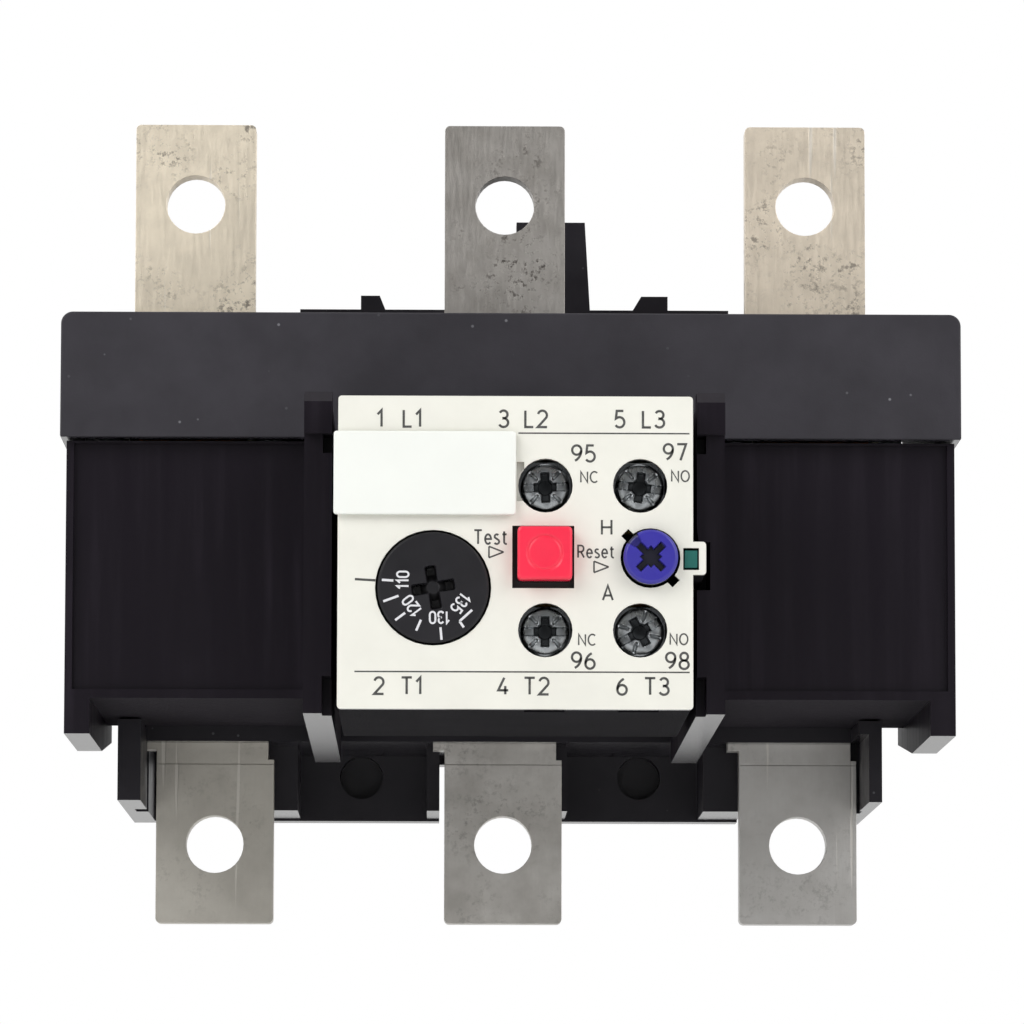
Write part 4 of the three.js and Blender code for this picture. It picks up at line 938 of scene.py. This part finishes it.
def lettering(mesh_bm, text, place, cap_height, face, stroke, narrow=1.0, turn=0.0):
    """Adds text centred on place, with its capitals cap_height tall, turned anticlockwise by turn."""
    scale = cap_height - stroke
    length = sum(GLYPHS[letter][0] for letter in text) + LETTER_SPACE * (len(text) - 1)
    start = -length / 2
    for letter in text:
        width, strokes = GLYPHS[letter]
        for points in strokes:
            placed = []
            for x, z in points:
                x, z = (start + x) * scale * narrow, (z - 0.5) * scale
                placed.append(Vector((
                    place[0] + x * math.cos(turn) - z * math.sin(turn),
                    place[1] + x * math.sin(turn) + z * math.cos(turn),
                )))
            closed = (placed[0] - placed[-1]).length < CLOSED_GAP
            ribbon(mesh_bm, placed[:-1] if closed else placed, stroke, face, closed)
        start += width + LETTER_SPACE


POLE_CAP = 2.4
TERMINAL_CAP = 2.35
CONTACT_CAP = 1.55
STROKE_SHARE = 0.125
TOP_ROW = 4.45
BOTTOM_ROW = -29.55
# Each mark: its text, its middle in X and Z, and its capitals' height.
MARKS = (
    ("1", (-17.2, TOP_ROW), POLE_CAP), ("L1", (-13.1, TOP_ROW), POLE_CAP),
    ("3", (-1.5, TOP_ROW), POLE_CAP), ("L2", (2.6, TOP_ROW), POLE_CAP),
    ("5", (13.2, TOP_ROW), POLE_CAP), ("L3", (17.5, TOP_ROW), POLE_CAP),
    ("2", (-17.2, BOTTOM_ROW), POLE_CAP), ("T1", (-13.1, BOTTOM_ROW), POLE_CAP),
    ("4", (-1.5, BOTTOM_ROW), POLE_CAP), ("T2", (2.7, BOTTOM_ROW), POLE_CAP),
    ("6", (13.5, BOTTOM_ROW), POLE_CAP), ("T3", (17.9, BOTTOM_ROW), POLE_CAP),
    ("95", (8.6, 0.05), TERMINAL_CAP), ("NC", (9.3, -2.95), CONTACT_CAP),
    ("97", (20.2, 0.25), TERMINAL_CAP), ("NO", (20.9, -2.8), CONTACT_CAP),
    ("NC", (9.05, -23.65), CONTACT_CAP), ("96", (8.6, -26.3), TERMINAL_CAP),
    ("NO", (20.7, -23.55), CONTACT_CAP), ("98", (20.5, -26.3), TERMINAL_CAP),
    ("Test", (-3.15, -10.65), 2.0), ("Reset", (10.2, -12.45), 1.75),
    ("H", (11.55, -9.35), 2.1), ("A", (11.7, -17.7), 2.1),
)
WORD_NARROWING = 0.88
RULE_LEFT = plate_low.x + 2.2
RULE_RIGHT = plate_high.x - 2.1
# Each rule: its two ends and its width. The third is the index mark left of the dial.
RULES = (
    ((0.35, 2.62), (RULE_RIGHT, 2.62), 0.18),
    ((RULE_LEFT, -27.76), (RULE_RIGHT, -27.76), 0.18),
    ((RULE_LEFT, -16.05), (-17.7, -16.2), 0.3),
)
# The outlined arrowheads under "Test" and "Reset", pointing right: their tips and their size.
ARROW_TIPS = ((-1.5, -12.55), (11.8, -14.4))
ARROW_LENGTH = 1.85
ARROW_HALF = 0.72
ARROW_STROKE = 0.2


def plate_marks():
    """The lettering, rules and arrowheads printed on the front plate."""
    mesh_bm = bmesh.new()
    for text, place, cap in MARKS:
        narrow = WORD_NARROWING if len(text) > 2 else 1.0
        lettering(mesh_bm, text, place, cap, PLATE_FACE, cap * STROKE_SHARE, narrow)
    for start, end, width in RULES:
        line(mesh_bm, start, end, width, PLATE_FACE)
    for tip_x, tip_z in ARROW_TIPS:
        back_x = tip_x - ARROW_LENGTH
        corners = [(tip_x, tip_z), (back_x, tip_z + ARROW_HALF), (back_x, tip_z - ARROW_HALF)]
        for start, end in zip(corners, corners[1:] + corners[:1]):
            line(mesh_bm, start, end, ARROW_STROKE, PLATE_FACE)
    return as_object("plate_marks", mesh_bm, DARK_INK, "root")


def polar(reach, degrees):
    """A point on the dial's face, from its middle."""
    angle = math.radians(degrees)
    return Vector((DIAL_X + reach * math.cos(angle), DIAL_Z + reach * math.sin(angle)))


TICK_WIDTH = 0.3
DIGIT_CAP = 1.7
DIGIT_STROKE = 0.24
DIGIT_NARROWING = 0.86


def dial_marks():
    """The scale's ticks and numbers, printed on the dial's face."""
    mesh_bm = bmesh.new()
    for inner, inner_deg, outer, outer_deg in (
        (5.1, 170.5, 6.55, 171.8),
        (4.5, 194.0, 6.55, 196.0),
        (4.8, 222.6, 6.35, 221.2),
        (4.4, 249.7, 5.9, 248.9),
        (5.15, 280.5, 6.75, 279.3),
    ):
        line(mesh_bm, polar(inner, inner_deg), polar(outer, outer_deg), TICK_WIDTH, DIAL_FACE)
    corner = polar(5.45, 308.0)
    line(mesh_bm, polar(5.7, 330.0), corner, TICK_WIDTH, DIAL_FACE)
    line(mesh_bm, corner, polar(6.4, 307.5), TICK_WIDTH, DIAL_FACE)
    for text, reach, degrees, top_degrees in (
        ("110", 3.95, 166.5, 180.0),
        ("120", 3.55, 221.5, 217.0),
        ("130", 3.9, 282.0, 271.0),
        ("135", 4.0, 330.0, 324.0),
    ):
        turn = math.radians(top_degrees - 90)
        place = polar(reach, degrees)
        lettering(mesh_bm, text, place, DIGIT_CAP, DIAL_FACE, DIGIT_STROKE, DIGIT_NARROWING, turn)
    return as_object("dial_marks", mesh_bm, PALE_INK, "current_dial")


plate_marks()
dial_marks()


# ---- stage: pale floor below the camera's view, and soft light ----
FLOOR_DROP = 0.0435
FLOOR_REACH = 4.0


def add_floor():
    """A pale floor under the relay, which only lights its undersides in the front view."""
    mesh_bm = bmesh.new()
    z = cad_box[0][2] - FLOOR_DROP
    corners = ((-1, -1), (1, -1), (1, 1), (-1, 1))
    mesh_bm.faces.new([
        mesh_bm.verts.new((x * FLOOR_REACH, y * FLOOR_REACH, z)) for x, y in corners
    ])
    mesh = bpy.data.meshes.new("floor")
    mesh_bm.to_mesh(mesh)
    mesh_bm.free()
    shader = Shader("floor_look")
    cloud = shader.noise(60.0)
    shader.set("Base Color", shader.mix(cloud, linear(236, 236, 235), linear(246, 246, 245)))
    shader.surface.inputs["Roughness"].default_value = 0.8
    mesh.materials.append(shader.material)
    floor = bpy.data.objects.new("floor", mesh)
    bpy.context.collection.objects.link(floor)


def add_light(name, place, target, size, power):
    """A square softbox facing target."""
    data = bpy.data.lights.new(name, "AREA")
    data.shape = "SQUARE"
    data.size = size
    data.energy = power
    light = bpy.data.objects.new(name, data)
    place = Vector(place)
    light.matrix_world = (
        Matrix.Translation(place)
        @ (Vector(target) - place).to_track_quat("-Z", "Y").to_matrix().to_4x4()
    )
    bpy.context.collection.objects.link(light)


# The surroundings' strength in front, behind and as the camera sees them, and between which
# directions, by their Y, it goes from the first to the second.
FRONT_GLOW = 0.17
BACK_GLOW = 1.0
VIEW_GLOW = 1.0
FRONT_END = -0.75
BACK_START = 0.1


def add_world():
    """White to look at; it lights the back and sides fully and the front less."""
    world = bpy.data.worlds.new("studio")
    world.use_nodes = True
    tree = world.node_tree
    bpy.context.scene.world = world
    background = tree.nodes["Background"]
    background.inputs["Color"].default_value = (1.0, 1.0, 1.0, 1.0)
    place = tree.nodes.new("ShaderNodeTexCoord")
    split = tree.nodes.new("ShaderNodeSeparateXYZ")
    ramp = tree.nodes.new("ShaderNodeMapRange")
    choose = tree.nodes.new("ShaderNodeMix")
    path = tree.nodes.new("ShaderNodeLightPath")
    ramp.interpolation_type = "SMOOTHSTEP"
    for socket, value in (
        ("From Min", FRONT_END),
        ("From Max", BACK_START),
        ("To Min", FRONT_GLOW),
        ("To Max", BACK_GLOW),
    ):
        ramp.inputs[socket].default_value = value
    choose.inputs[3].default_value = VIEW_GLOW
    links = tree.links
    links.new(place.outputs["Generated"], split.inputs[0])
    links.new(split.outputs["Y"], ramp.inputs["Value"])
    links.new(path.outputs["Is Camera Ray"], choose.inputs[0])
    links.new(ramp.outputs["Result"], choose.inputs[2])
    links.new(choose.outputs[0], background.inputs["Strength"])


SOFTBOX_TARGET = (0, -0.1, 0)
SOFTBOX_SIZE = 0.9

add_floor()
add_light("left_softbox", (-0.9, -1.0, 0.75), SOFTBOX_TARGET, SOFTBOX_SIZE, 11.5)
add_light("right_softbox", (0.95, -0.95, 0.55), SOFTBOX_TARGET, SOFTBOX_SIZE, 8.5)
add_world()
bpy.context.scene.view_settings.view_transform = "Standard"
